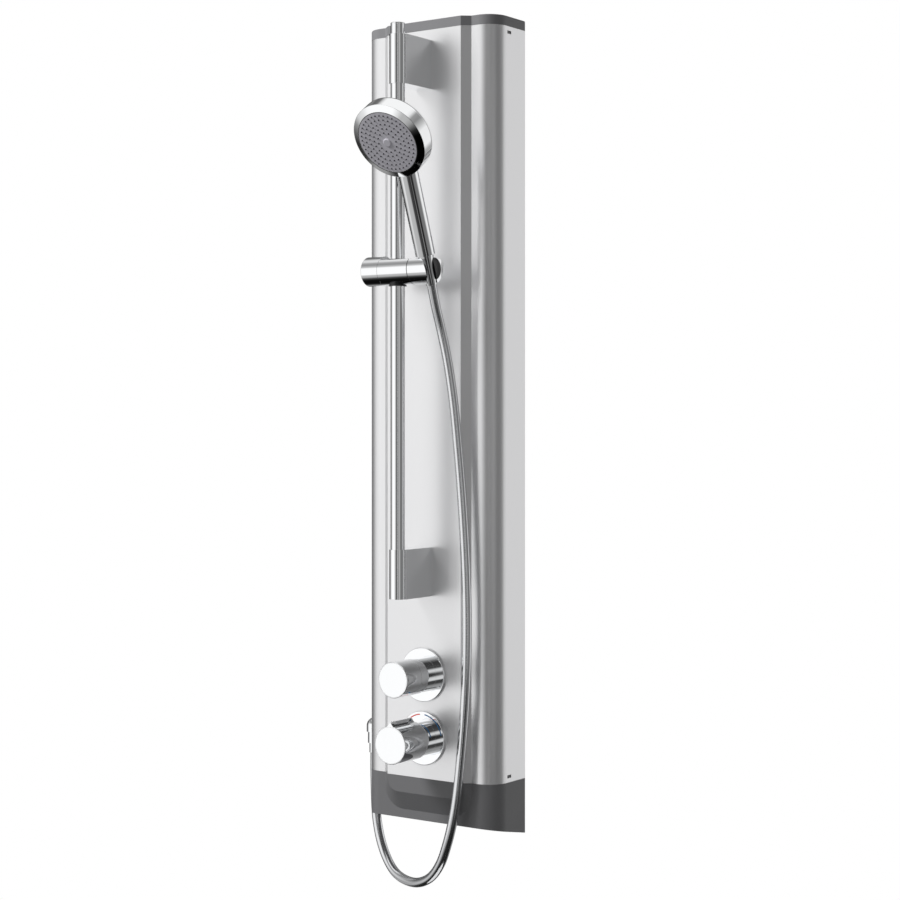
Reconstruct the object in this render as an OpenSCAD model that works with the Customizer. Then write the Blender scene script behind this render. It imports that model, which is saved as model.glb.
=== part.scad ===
// Thermostatic shower panel column with hand shower, slide rail, slider and hose.
// Millimetres. X is right, Y runs into the wall, Z is up. The origin lies on the wall,
// in the middle of the four fixing holes.

/* [Panel] */
// Width of the panel
panel_w = 240; // [232:1:270]
// Length of the aluminium profile
panel_len = 1105; // [1070:5:1250]
// Depth of the panel from the wall to its shoulders
shoulder_d = 80; // [76:1:90]
// How far the middle of the front stands proud of the shoulders
plateau_rise = 10; // [6:1:14]
// Width of the raised middle of the front
plateau_w = 134; // [120:1:140]
// Sideways run of the sloping flank beside the raised middle
flank_run = 12; // [8:1:14]
// Radius of the long rounded front corners
corner_r = 30; // [24:1:34]
// Wall thickness of the profile
panel_t = 2; // [1.6:0.1:3]
// Width of the lips that turn in at the back
lip_w = 12; // [9:1:14]

/* [Covers] */
// Height of the top cap
cap_h = 14.5; // [12:0.5:24]
// Height of the bottom cover at the wall
cover_h = 81; // [76:1:100]
// How much the bottom cover is shorter at its shoulders than at the wall
cover_slope_drop = 16; // [8:1:20]
// Wall thickness of the plastic covers
cover_t = 2.5; // [2:0.1:3]
// How far the skirts of the covers reach into the profile
skirt_h = 14; // [12:1:20]

/* [Wall brackets] */
// Height between the two wall brackets
wall_pitch_z = 600; // [560:10:640]
// Width between the two holes in a wall bracket
wall_pitch_x = 160; // [120:5:170]
// Diameter of the holes for the wall screws
wall_hole_d = 6.5; // [5:0.5:8]
// Height of a wall bracket
wall_bracket_h = 30; // [24:1:40]
// Thickness of the wall bracket's steel
wall_bracket_t = 2.5; // [2:0.5:3]

/* [Rail] */
// Diameter of the slide rail
rail_d = 21; // [18:0.5:22]
// Wall thickness of the rail's tube
rail_t = 1.5; // [1:0.1:2]
// Distance from the front of the panel to the rail's axis
rail_stand = 63.5; // [60:0.5:70]
// Distance from the top of the profile to the middle of the upper rail bracket
rail_inset = 52; // [48:1:70]
// Distance from the bottom of the profile to the middle of the lower rail bracket
rail_lift = 306; // [275:1:340]
// Height of a rail bracket
rail_bracket_h = 72; // [60:1:80]
// Width of a rail bracket
rail_bracket_w = 29; // [28:0.5:36]
// How far the rail stands out above the upper bracket
rail_over = 17; // [5:1:25]

/* [Slider] */
// Height of the slider below the middle of the upper rail bracket
slider_drop = 306.5; // [200:0.5:340]
// Diameter of the slider
slider_d = 43; // [40:1:46]
// Length of the slider's body, which turns on the rail
slider_body_len = 53; // [50:1:56]
// Length of the clamping grip
grip_len = 30; // [24:1:40]
// Distance from the rail's axis to the hand shower's axis
holder_x = 55; // [54:0.5:60]
// Forward lean of the hand shower
handset_tilt = 20; // [14:1:24]

/* [Hand shower] */
// Diameter of the handle
handle_d = 29; // [26:0.5:31]
// Diameter of the shower head
head_d = 114; // [100:1:120]
// Depth of the shower head's side
head_depth = 28; // [26:1:32]
// Diameter of the flat spray face
face_d = 95; // [84:1:98]
// Distance from the holder's pivot to the middle of the head, along the handle
head_reach = 194; // [186:1:215]
// Angle between the handle and the way the face looks
head_pitch = 105; // [98:1:112]

/* [Controls] */
// Height of the volume knob above the bottom of the profile
volume_up = 153.5; // [145:0.5:170]
// Height between the two knobs
knob_pitch = 93.5; // [86:0.5:98]
// Diameter of the rosettes
rosette_d = 80; // [70:1:84]
// Thickness of the rosettes
rosette_t = 4; // [3:0.5:6]
// Diameter of the volume knob
volume_d = 52.5; // [50:0.5:56]
// How far the volume knob's face stands from the panel
volume_reach = 75.5; // [72:0.5:90]
// Diameter of the temperature knob
temperature_d = 55.5; // [52:0.5:60]
// How far the temperature knob's face stands from the panel
temperature_reach = 82; // [78:0.5:95]

/* [Water] */
// Width between the hot and the cold inlet
inlet_pitch = 150; // [140:1:156]
// Bore of the threads in the inlet nuts
inlet_bore_d = 24.1; // [23.5:0.1:26.4]
// Outer diameter of the hose
hose_d = 14.2; // [12:0.1:14.4]
// Bore of the hose
hose_bore_d = 8; // [6:0.5:10]

/* [Hidden] */
$fn = 96;

// Fits that several pieces share
overrun = 1;
slip = 0.05;
gap = 0.3;
seat = 0.1;
soft_fn = 32;

// The panel's places
half_w = panel_w / 2;
top_z = panel_len / 2;
front_d = shoulder_d + plateau_rise;
plateau_x = plateau_w / 2;
flank_x = plateau_x + flank_run;
flank_angle = atan2(plateau_rise, flank_run);
lip_back = 6;
lip_t = 2;
slot_w = 10;
slot_h = 4.4;
slot_back = 37;
slot_inset = 6.4;
rib_x = 15;
rib_w = 2;
rib_h = 5;

// The covers' places
edge_bevel = 1.2;
cover_plateau_h = 24.5;
cover_flank_h = 27.5;
cover_corner_r = 19;
cover_flank_r = 34;
skin = 0.1;
skirt_t = 2;
cover_wall = panel_t + gap + skirt_t;
tongue_h = 3.8;
tongue_w = 9.4;
tongue_out = 1.4;

// The rail's places
rail_r = rail_d / 2;
rail_y = -(front_d + rail_stand);
upper_z = top_z - rail_inset;
lower_z = -top_z + rail_lift;
rail_top = upper_z + rail_bracket_h / 2 + rail_over;
rail_bottom = lower_z - rail_bracket_h / 2;
sleeve_t = 1.7;
sleeve_r = rail_r + slip + sleeve_t;
plug_h = 3;
plug_deep = 12;
bracket_screw_d = 5;
bracket_screw_pitch = 40;
bracket_screw_in = 20;
screw_head_d = 9;
screw_head_h = 3;
backing_w = 24;
backing_h = 62;
backing_t = 4;

// The slider's places
slider_z = upper_z - slider_drop;
slider_r = slider_d / 2;
body_left = 22;
body_right = slider_body_len - body_left;
flat_up = 15;
bush_t = 1.6;
bush_rim = 1.2;
bush_rim_t = 1;
washer_t = 1;
washer_r = 9;
insert_r = 16;
insert_deep = 25;
insert_end = 13;
sleeve_end = 10;
axle_r = 4;
axle_groove_r = 2.6;
axle_groove_w = 3.2;
axle_groove_x = 24;
axle_start = 16.5;
axle_into = 1;
dome_r = 60;
axle_pin_r = 1.2;
axle_pin_len = 24;
clamp_screw_r = 4;
clamp_head_r = 8;
clamp_head_h = 8;
shoe_r = 5;
shoe_t = 3;
bush_r = rail_r + slip + bush_t;
holder_start = body_right + washer_t;
insert_start = holder_x + insert_end - insert_deep;
axle_len = insert_start + axle_into - axle_start;

// The hand shower's places, s along the handle from the pivot
nut_top_s = 21;
nut_low_s = -23.4;
nut_top_r = 11.25;
nut_low_r = 8.25;
nut_step = 3;
hose_slot_gap = 0.6;
slot_angle = 45;
handle_t = 2.5;
spigot_r = 9.2;
spigot_len = 12;
spigot_bore_r = 5;
spigot_flange = 6;
seal_t = 2;
head_forward = 28.5;
head_t = 2.2;
head_back_r = 9;
head_dome = 4;
bevel_rise = 4.4;
bevel_back = 6;
face_t = 3;
boss_r = 6.5;
boss_h = 1.6;
nozzle_r = 1.1;
nozzle_tip_r = 0.8;
nozzle_h = 1.3;
nozzle_plate_t = 1.5;
nozzle_first_r = 15;
nozzle_step = 6.7;
nozzle_counts = [12, 18, 24, 30, 38];
nozzle_fn = 13;
head_r = head_d / 2;
handle_end = head_reach - head_r + head_forward / 2;

// The controls' places
volume_z = -top_z + volume_up;
temperature_z = volume_z - knob_pitch;
mixer_z = (volume_z + temperature_z) / 2;
nose_r = 20;
nose_len = 16;
nose_shoulder_r = 25;
neck_hole_gap = 0.5;
trim_r = 25.5;
trim_len = 20;
trim_t = 2;
temperature_trim_extra = 2.5;
collar_len = 15.6;
collar_r = 26.2;
collar_in = 4;
collar_bore_r = 18;
knob_gap = 0.5;
knob_wall = 3;
knob_face_t = 5;
knob_edge_r = 1;
knob_hub_r = 8;
knob_hub_len = 16;
spindle_r = 4;
spindle_in_knob = 12;
spindle_root = 40;
cartridge_r = 16.8;
cartridge_bore_r = 17;
cartridge_deep = 30;
cartridge_neck_r = 10;
cartridge_neck_len = 8;
knob_cap_t = 1.5;
knob_cap_edge = 1.6;
lug_rise = 5.3;
lug_len = 52;
lug_tip_r = 1.8;
lug_foot = 6;
lug_sink = 1.2;
button_len = 44;
button_r = 3;
button_back = 2.4;
button_foot = 1;
button_travel = 2;
button_rise = 1.2;
collar_start = rosette_t + trim_len;
volume_start = collar_start + collar_len + knob_gap;
volume_len = volume_reach - volume_start;
temperature_trim_len = trim_len + temperature_trim_extra;
temperature_start = rosette_t + temperature_trim_len + knob_gap;
temperature_len = temperature_reach - temperature_start;
temperature_r = temperature_d / 2;
lug_start = temperature_len - lug_len;
button_start = lug_start + button_back;
button_low = temperature_r - lug_sink - button_foot;
button_high = temperature_r + lug_rise + button_rise;

// The waterways' places
mixer_y = -46;
barrel_r = 21;
barrel_over = 30;
arm_r = 13.5;
arm_bore_r = 9;
tail_r = 11;
tail_len = 7;
inlet_mouth = 12;
inlet_nut_len = 20;
inlet_nut_flats = 32;
inlet_nut_lip = 4;
relief = 0.6;
strainer_t = 2;
valve_r = 8.8;
valve_len = 16;
outlet_y = -30;
outlet_drop = 2.5;
outlet_boss_r = 13;
outlet_boss_len = 34;
pipe_r = 7.5;
pipe_bore_r = 6.3;
pipe_in = 8;
pipe_nut_r = 12;
pipe_nut_len = 11;
elbow_out = 17;
elbow_r = 12.8;
elbow_neck_r = 10;
elbow_neck_in = 16;
elbow_down = 8.8;
elbow_flange_r = 13.5;
elbow_flange_t = 3;
elbow_nipple_r = 7.6;
elbow_nipple_len = 10;
gasket_t = 1;
back_nut_flats = 30;
back_nut_t = 6;
lower_nut_r = 10.8;
lower_nut_len = 17.2;
lower_nut_lip = 2.2;
hose_washer_t = 2;
ferrule_r = 8.6;
ferrule_len = 14.8;
ferrule_neck_r = 6.6;
ferrule_neck = lower_nut_len - elbow_nipple_len - hose_washer_t;
arm_len = -mixer_y - inlet_mouth - inlet_nut_len;
outlet_z = temperature_z - outlet_drop;
elbow_x = half_w + elbow_out;

// The hose's route, from the cone nut round to the ferrule below the elbow, with the two ends
// that it was drawn between. Where the real ends move, each point moves with the nearer one.
hose_route = [
    [55, -135, 140], [57, -124, 105], [61, -114, 60], [65, -106, 5], [70, -102, -60],
    [76, -100, -135], [81, -99, -215], [84, -99, -290], [84, -99, -360], [81, -99, -430],
    [75, -99, -500], [67, -99, -565], [57, -97, -610], [44, -93, -646], [28, -87, -676],
    [5, -79, -700], [-25, -69, -714], [-56, -58, -717], [-84, -48, -711], [-106, -40, -694],
    [-122, -35, -668], [-132, -32, -635], [-136, -30, -600], [-137, -30, -565]];
drawn_start = [55, -145.5, 172];
drawn_end = [-137, -30, -535.8];
hose_sides = 12;
hose_steps = 3;

// Outline of the front without its raised middle, drawn in by a distance.
// A cavity's outline runs out behind the wall, so that the piece stays open there.
module shoulder_outline(inset) {
    side = half_w - inset;
    deep = shoulder_d - inset;
    behind = inset > 0 ? overrun : 0;
    round_r = corner_r - inset;
    translate([-side, -(deep - round_r)]) square([2 * side, deep - round_r + behind]);
    translate([-(side - round_r), -deep]) square([2 * (side - round_r), deep + behind]);
    for (way = [-1, 1]) translate([way * (side - round_r), -(deep - round_r)]) circle(r = round_r);
}

// Outline of the raised middle of the front, drawn in by the same distance
module plateau_outline(inset) {
    shift = inset * tan(flank_angle / 2);
    deep = front_d - inset;
    foot = shoulder_d - inset;
    polygon([[-(flank_x - shift), -foot + overrun], [-(flank_x - shift), -foot],
        [-(plateau_x - shift), -deep], [plateau_x - shift, -deep],
        [flank_x - shift, -foot], [flank_x - shift, -foot + overrun]]);
}

module panel_outline(inset) {
    shoulder_outline(inset);
    plateau_outline(inset);
}

// Stands a shape on the panel's front at a height, with its z axis out of the wall
module on_front(z, d = front_d) translate([0, -d, z]) rotate([90, 0, 0]) children();

// Ring between two radii
module ring(outer, inner, len) {
    difference() {
        cylinder(r = outer, h = len);
        translate([0, 0, -overrun]) cylinder(r = inner, h = len + 2 * overrun);
    }
}

// Hexagon bar by its width across flats
module hex_bar(flats, len) cylinder(r = flats / 2 / cos(30), h = len, $fn = 6);

// Side slots near both ends, one for each latch
module slot_cuts(out) {
    for (way = [-1, 1], up = [-1, 1])
        translate([way * half_w, -slot_back - slot_w / 2, up * (top_z - slot_inset - slot_h / 2)])
            cube([out, slot_w, slot_h], center = true);
}

module front_panel() color("silver") {
    screw_x = bracket_screw_d / 2 + gap;
    difference() {
        translate([0, 0, -top_z]) linear_extrude(panel_len) difference() {
            panel_outline(0);
            difference() {
                panel_outline(panel_t);
                for (way = [-1, 1]) {
                    translate([way * (half_w - panel_t - lip_w / 2), -lip_back - lip_t / 2])
                        square([lip_w, lip_t], center = true);
                    translate([way * rib_x, -front_d + panel_t + rib_h / 2])
                        square([rib_w, rib_h], center = true);
                }
            }
        }
        slot_cuts(4 * panel_t);
        for (z = [volume_z, temperature_z]) on_front(z, front_d - panel_t - rib_h - overrun) {
            cylinder(r = nose_r + neck_hole_gap, h = panel_t + rib_h + 2 * overrun);
            cylinder(r = nose_shoulder_r + neck_hole_gap, h = rib_h + overrun);
        }
        for (z = [upper_z, lower_z], up = [-1, 1])
            on_front(z + up * bracket_screw_pitch / 2, front_d - panel_t - overrun)
                cylinder(r = screw_x, h = panel_t + 2 * overrun);
        translate([-half_w - overrun, outlet_y, outlet_z]) rotate([0, 90, 0])
            cylinder(r = elbow_neck_r + gap, h = panel_t + 2 * overrun);
    }
}

// Skirt that plugs into an end of the profile, with its two latch tongues
module cover_skirt() {
    inner = panel_t + gap;
    back = lip_back + lip_t + gap;
    difference() {
        linear_extrude(skirt_h) difference() {
            intersection() {
                panel_outline(inner);
                translate([-half_w, -front_d]) square([panel_w, front_d - back]);
            }
            panel_outline(inner + skirt_t);
        }
        for (way = [-1, 1]) translate([way * rib_x, -front_d, skirt_h / 2])
            cube([rib_w + 2 * gap, 2 * (panel_t + skirt_t + rib_h), skirt_h + 2 * overrun], center = true);
    }
    for (way = [-1, 1])
        translate([way * (half_w - inner - skirt_t / 2 + tongue_out / 2), -slot_back - slot_w / 2,
            slot_inset + slot_h / 2])
            cube([skirt_t + tongue_out, tongue_w, tongue_h], center = true);
}

module top_cap() color("dimgray") translate([0, 0, top_z]) {
    difference() {
        union() {
            linear_extrude(cap_h - edge_bevel) panel_outline(0);
            translate([0, 0, cap_h - edge_bevel]) linear_extrude(edge_bevel) intersection() {
                panel_outline(edge_bevel / 2);
                translate([-half_w, -front_d]) square([panel_w, front_d]);
            }
        }
        translate([0, 0, -overrun]) linear_extrude(cap_h - cover_t + overrun) panel_outline(cover_wall);
    }
    mirror([0, 0, 1]) cover_skirt();
}

// Raised middle of the bottom cover, which runs out in a rounded lower end
module cover_plateau(inset) {
    shift = inset * tan(flank_angle / 2);
    top_r = cover_corner_r - shift;
    foot_r = cover_flank_r - shift;
    top_x = plateau_x - shift;
    foot_x = flank_x - shift;
    low = cover_plateau_h - shift;
    foot_low = cover_plateau_h + cover_flank_h - shift;
    foot_y = -shoulder_d + inset;
    intersection() {
        hull() for (way = [-1, 1]) {
            translate([way * (top_x - top_r), -front_d + inset, top_r - low]) rotate([-90, 0, 0])
                cylinder(r = top_r, h = skin, $fn = soft_fn);
            translate([way * (foot_x - foot_r), foot_y, foot_r - foot_low]) rotate([-90, 0, 0])
                cylinder(r = foot_r, h = overrun, $fn = soft_fn);
            translate([way * (top_x - skin), skin - front_d + inset, 0]) cube(2 * skin, center = true);
            translate([way * (foot_x - skin), skin + foot_y, 0]) cube(2 * skin, center = true);
        }
        translate([-half_w, -2 * front_d, -cover_h]) cube([panel_w, 3 * front_d, cover_h]);
    }
}

// Wedge below the sloping underside of the bottom cover
module below_cover(lift) {
    slope = atan2(cover_slope_drop, shoulder_d);
    wide = panel_w + 2 * overrun;
    translate([0, 0, -cover_h + lift]) rotate([-slope, 0, 0])
        translate([-wide / 2, -2 * front_d, -cover_h]) cube([wide, 4 * front_d, cover_h]);
}

module bottom_cover() color("dimgray") translate([0, 0, -top_z]) {
    difference() {
        union() {
            translate([0, 0, -cover_h]) linear_extrude(cover_h) shoulder_outline(0);
            cover_plateau(0);
        }
        below_cover(0);
        difference() {
            union() {
                translate([0, 0, -cover_h]) linear_extrude(cover_h + overrun) shoulder_outline(cover_wall);
                translate([0, 0, overrun]) cover_plateau(cover_wall);
            }
            below_cover(cover_t);
        }
    }
    cover_skirt();
}

// Steel bracket on the wall, whose bent ends hold the lips of the profile
module wall_bracket(z) color("gainsboro") translate([0, 0, z]) {
    reach = half_w - panel_t - lip_w - gap;
    hook_front = lip_back + lip_t + gap + wall_bracket_t;
    hook_out = lip_w - panel_t;
    low = -wall_bracket_h / 2;
    difference() {
        translate([-reach, -wall_bracket_t, low]) cube([2 * reach, wall_bracket_t, wall_bracket_h]);
        for (way = [-1, 1]) translate([way * wall_pitch_x / 2, -wall_bracket_t - overrun, 0])
            rotate([-90, 0, 0]) cylinder(d = wall_hole_d, h = wall_bracket_t + 2 * overrun);
    }
    for (way = [0, 1]) mirror([way, 0, 0]) translate([reach - wall_bracket_t, -hook_front, low]) {
        cube([wall_bracket_t, hook_front, wall_bracket_h]);
        cube([wall_bracket_t + hook_out, wall_bracket_t, wall_bracket_h]);
    }
}

module upper_wall_bracket() wall_bracket(wall_pitch_z / 2);

module lower_wall_bracket() wall_bracket(-wall_pitch_z / 2);

// Stands a shape on the rail's axis at a height
module on_rail(z) translate([0, rail_y, z]) children();

module slide_rail() color("lightgray") on_rail(rail_bottom + plug_h)
    ring(rail_r, rail_r - rail_t, rail_top - rail_bottom - 2 * plug_h);

module rail_plug() {
    cylinder(r = rail_r - rail_t - seat, h = plug_deep + plug_h);
    rotate_extrude() {
        square([rail_r - edge_bevel, plug_h]);
        translate([0, edge_bevel]) square([rail_r, plug_h - edge_bevel]);
        translate([rail_r - edge_bevel, edge_bevel]) circle(r = edge_bevel);
    }
}

module rail_end_plugs() color("silver") {
    on_rail(rail_top) mirror([0, 0, 1]) rail_plug();
    on_rail(rail_bottom) rail_plug();
}

// Block between the panel and the rail, hollowed behind the rail
module rail_bracket(z) color("gray") difference() {
    translate([-rail_bracket_w / 2, rail_y, z - rail_bracket_h / 2])
        cube([rail_bracket_w, rail_stand, rail_bracket_h]);
    on_rail(z - rail_bracket_h / 2 - overrun)
        cylinder(r = sleeve_r + seat, h = rail_bracket_h + 2 * overrun);
    for (up = [-1, 1]) on_front(z + up * bracket_screw_pitch / 2, front_d - overrun)
        cylinder(r = bracket_screw_d / 2 + slip, h = bracket_screw_in + overrun);
}

module upper_rail_bracket() rail_bracket(upper_z);

module lower_rail_bracket() rail_bracket(lower_z);

// Chrome sleeve that holds the rail in the front of its bracket
module rail_sleeve(z) color("lightgray") on_rail(z - rail_bracket_h / 2)
    ring(sleeve_r, rail_r + slip, rail_bracket_h);

module upper_rail_sleeve() rail_sleeve(upper_z);

module lower_rail_sleeve() rail_sleeve(lower_z);

module rail_backing_plates() color("darkgray") for (z = [upper_z, lower_z]) difference() {
    on_front(z, front_d - panel_t - backing_t) translate([-backing_w / 2, -backing_h / 2, 0])
        cube([backing_w, backing_h, backing_t]);
    for (up = [-1, 1])
        on_front(z + up * bracket_screw_pitch / 2, front_d - panel_t - backing_t - overrun)
            cylinder(r = bracket_screw_d / 2 + slip, h = backing_t + 2 * overrun);
}

module rail_bracket_screws() color("darkgray") for (z = [upper_z, lower_z], up = [-1, 1])
    on_front(z + up * bracket_screw_pitch / 2, front_d - panel_t - backing_t) {
        cylinder(r = bracket_screw_d / 2, h = panel_t + backing_t + bracket_screw_in - overrun);
        translate([0, 0, -screw_head_h]) cylinder(d = screw_head_d, h = screw_head_h);
    }

// Turns a shape on the slider's axis, z to the right from the rail
module on_slider(x = 0) translate([x, rail_y, slider_z]) rotate([0, 90, 0]) children();

// Plastic bush that slides on the rail and holds the slider between its two rims
module slider_bush() color("dimgray") on_rail(slider_z - slider_r - gap - bush_rim_t) {
    between = slider_r + flat_up + 2 * gap;
    ring(bush_r, rail_r + slip, between + 2 * bush_rim_t);
    for (up = [0, between + bush_rim_t]) translate([0, 0, up])
        ring(bush_r + bush_rim, rail_r + slip, bush_rim_t);
}

// Round bar on the slider's axis with its top cut flat
module flat_bar(len) difference() {
    cylinder(r = slider_r, h = len);
    translate([-slider_r - overrun, -slider_r - overrun, -overrun])
        cube([slider_r - flat_up + overrun, slider_d + 2 * overrun, len + 2 * overrun]);
}

module slider_body() color("silver") difference() {
    on_slider(-body_left) flat_bar(slider_body_len);
    on_rail(slider_z - slider_r - overrun) cylinder(r = bush_r + slip, h = slider_d + 2 * overrun);
    on_slider(0) cylinder(r = axle_r + slip, h = body_right + overrun);
    on_slider(-body_left - overrun) cylinder(r = clamp_screw_r + slip, h = body_left + overrun);
    on_slider(-bush_r - shoe_t) cylinder(r = shoe_r + slip, h = bush_r + shoe_t);
    translate([0, 0, -overrun]) axle_pin_place() cylinder(r = axle_pin_r + slip, h = 2 * slider_r);
}

// Round grip with a rounded outer end
module clamp_grip() color("silver") difference() {
    on_slider(-body_left - gap - grip_len) rotate_extrude() {
        square([slider_r - edge_bevel, grip_len]);
        translate([0, edge_bevel]) square([slider_r, grip_len - edge_bevel]);
        translate([slider_r - edge_bevel, edge_bevel]) circle(r = edge_bevel);
    }
    on_slider(-body_left - gap - clamp_head_h)
        cylinder(r = clamp_head_r + slip, h = clamp_head_h + overrun);
}

module clamp_screw() color("darkgray") {
    on_slider(-body_left - gap - clamp_head_h) cylinder(r = clamp_head_r, h = clamp_head_h);
    on_slider(-body_left - gap) cylinder(r = clamp_screw_r, h = body_left + gap - bush_r - shoe_t);
}

module clamp_shoe() color("black") difference() {
    on_slider(-bush_r - shoe_t + gap) cylinder(r = shoe_r, h = 2 * shoe_t);
    on_rail(slider_z - slider_r) cylinder(r = bush_r + slip, h = slider_d);
}

// Turns a shape on the hand shower's axis, z up the handle from the pivot
module on_handle(s = 0) translate([holder_x, rail_y, slider_z]) rotate([handset_tilt, 0, 0])
    translate([0, 0, s]) children();

// Socket for the cone nut, with the side slot that lets the hose in
module socket_cut() {
    deep = 2 * slider_r;
    taper = (nut_top_r - nut_low_r) / (nut_top_s - nut_step - nut_low_s);
    middle_r = nut_low_r - taper * nut_low_s + slip;
    on_handle(-deep) cylinder(r1 = middle_r - taper * deep, r2 = middle_r + taper * deep, h = 2 * deep);
    on_handle(-deep) rotate([0, 0, -slot_angle]) translate([0, -hose_d / 2 - hose_slot_gap, 0])
        cube([2 * slider_d, hose_d + 2 * hose_slot_gap, 2 * deep]);
}

module holder_sleeve() color("silver") difference() {
    on_slider(holder_start) flat_bar(holder_x + sleeve_end - holder_start);
    on_slider(insert_start) cylinder(r = insert_r + slip, h = insert_deep);
    on_slider(body_right) cylinder(r = axle_r + slip, h = insert_start - body_right + overrun);
    socket_cut();
}

// Plastic lining of the socket, whose round domed end shows beside the sleeve
module holder_insert() color("black") difference() {
    on_slider(insert_start) {
        intersection() {
            cylinder(r = insert_r, h = holder_x + sleeve_end - insert_start);
            translate([-flat_up, -insert_r, 0]) cube([2 * insert_r, 2 * insert_r, insert_deep]);
        }
        rotate_extrude() intersection() {
            translate([0, insert_deep - dome_r]) circle(r = dome_r);
            translate([0, holder_x + sleeve_end - insert_start]) square([insert_r, insert_deep]);
        }
    }
    on_slider(insert_start - overrun) cylinder(r = axle_r + slip, h = axle_into + overrun);
    socket_cut();
}

module holder_axle() color("darkgray") on_slider(axle_start) difference() {
    cylinder(r = axle_r, h = axle_len);
    translate([0, 0, axle_groove_x - axle_start - axle_groove_w / 2])
        ring(axle_r + overrun, axle_groove_r, axle_groove_w);
}

// Place of the upright pin that runs in the axle's groove
module axle_pin_place()
    translate([axle_groove_x, rail_y + axle_groove_r + slip + axle_pin_r, slider_z - axle_pin_len / 2])
        children();

module axle_pin() color("darkgray") axle_pin_place() cylinder(r = axle_pin_r, h = axle_pin_len);

module friction_washer() color("black") on_slider(body_right) ring(washer_r, axle_r + slip, washer_t);

// Stands a shape in the shower head, z out of the spray face, x across it
module on_head()
    on_handle(head_reach) translate([0, -head_forward, 0]) rotate([head_pitch, 0, 0]) children();

// Section of the shower head from its middle out, drawn in by a wall
module head_section(wall) {
    r = head_r - wall;
    back_r = head_back_r - wall;
    back = head_depth - wall;
    front = wall > 0 ? overrun : 0;
    flat_r = r - back_r;
    cap_r = (flat_r * flat_r + head_dome * head_dome) / (2 * head_dome);
    translate([0, -back]) square([flat_r, back + front]);
    translate([0, -(back - back_r)]) square([r, back - back_r + front]);
    translate([flat_r, -(back - back_r)]) circle(r = back_r);
    intersection() {
        translate([0, cap_r - back - head_dome]) circle(r = cap_r);
        translate([0, -back - head_dome]) square([flat_r, head_dome + back_r]);
    }
}

module handset_body() color("silver") difference() {
    union() {
        on_head() rotate_extrude() head_section(0);
        on_handle(nut_top_s + gap) cylinder(d = handle_d, h = handle_end - nut_top_s);
    }
    on_head() {
        rotate_extrude() head_section(head_t);
        cylinder(r = head_r, h = handle_d);
    }
    on_handle(nut_top_s + gap + spigot_flange) cylinder(d = handle_d - 2 * handle_t, h = handle_end);
    on_handle(0) cylinder(r = spigot_r + slip, h = nut_top_s + 2 * spigot_flange);
}

module head_ring() color("gray") on_head() difference() {
    union() {
        cylinder(r1 = head_r, r2 = face_d / 2, h = bevel_rise);
        translate([0, 0, -bevel_back]) cylinder(r = head_r - head_t - slip, h = bevel_back);
    }
    translate([0, 0, -bevel_back - overrun])
        cylinder(r = face_d / 2 - head_t, h = bevel_back + bevel_rise + 2 * overrun);
    translate([0, 0, bevel_rise - face_t])
        cylinder(r = face_d / 2 - edge_bevel + slip, h = face_t + overrun);
}

module spray_face() color("gray") on_head() difference() {
    translate([0, 0, bevel_rise - face_t]) cylinder(r = face_d / 2 - edge_bevel, h = face_t);
    translate([0, 0, bevel_rise - face_t - overrun]) {
        cylinder(r = boss_r / 2 + slip, h = face_t + 2 * overrun);
        nozzle_places() cylinder(r = nozzle_r + slip, h = face_t + 2 * overrun, $fn = nozzle_fn);
    }
}

// Places of the nozzles on their rings
module nozzle_places() {
    for (row = [0 : len(nozzle_counts) - 1], k = [0 : nozzle_counts[row] - 1])
        rotate([0, 0, (k + row / 2) * 360 / nozzle_counts[row]])
            translate([nozzle_first_r + row * nozzle_step, 0, 0]) children();
}

module spray_nozzles() color("darkgray") on_head() translate([0, 0, bevel_rise - face_t]) {
    translate([0, 0, -nozzle_plate_t]) ring(face_d / 2 - head_t - slip, boss_r / 2 + slip, nozzle_plate_t);
    nozzle_places() cylinder(r1 = nozzle_r, r2 = nozzle_tip_r, h = face_t + nozzle_h, $fn = nozzle_fn);
}

module face_boss() color("gray") on_head() translate([0, 0, bevel_rise]) {
    rotate_extrude() {
        square([boss_r - boss_h, boss_h]);
        translate([boss_r - boss_h, 0]) intersection() {
            circle(r = boss_h);
            square([boss_h, boss_h]);
        }
    }
    translate([0, 0, -face_t - nozzle_plate_t]) cylinder(r = boss_r / 2, h = face_t + nozzle_plate_t);
}

module inlet_spigot() color("goldenrod") on_handle(nut_top_s + gap - spigot_len) difference() {
    cylinder(r = spigot_r, h = spigot_len + spigot_flange);
    translate([0, 0, -overrun]) cylinder(r = spigot_bore_r, h = spigot_len + spigot_flange + 2 * overrun);
}

module spigot_seal() color("black") on_handle(nut_top_s + gap - spigot_len - seal_t)
    ring(spigot_r, spigot_bore_r, seal_t);

module hose_cone_nut() color("silver") difference() {
    on_handle(nut_low_s) {
        cylinder(r1 = nut_low_r, r2 = nut_top_r, h = nut_top_s - nut_low_s - nut_step);
        translate([0, 0, nut_top_s - nut_low_s - nut_step]) cylinder(r = nut_top_r, h = nut_step);
    }
    on_handle(nut_top_s + gap - spigot_len - seal_t)
        cylinder(r = spigot_r + slip, h = spigot_len + seal_t + overrun);
    on_handle(nut_low_s - overrun) cylinder(r = hose_bore_d / 2, h = nut_top_s - nut_low_s);
}

// The hose's ends, from the pieces that it meets
hose_start = [holder_x, rail_y - nut_low_s * sin(handset_tilt), slider_z + nut_low_s * cos(handset_tilt)];
hose_end = [-elbow_x, outlet_y, outlet_z - elbow_down - lower_nut_len - ferrule_len];
route_last = len(hose_route) - 1;
hose_points = concat([hose_start], [for (k = [0 : route_last]) let (share = k / route_last)
    hose_route[k] + (1 - share) * (hose_start - drawn_start) + share * (hose_end - drawn_end)], [hose_end]);
hose_last = len(hose_points) - 1;

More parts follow.
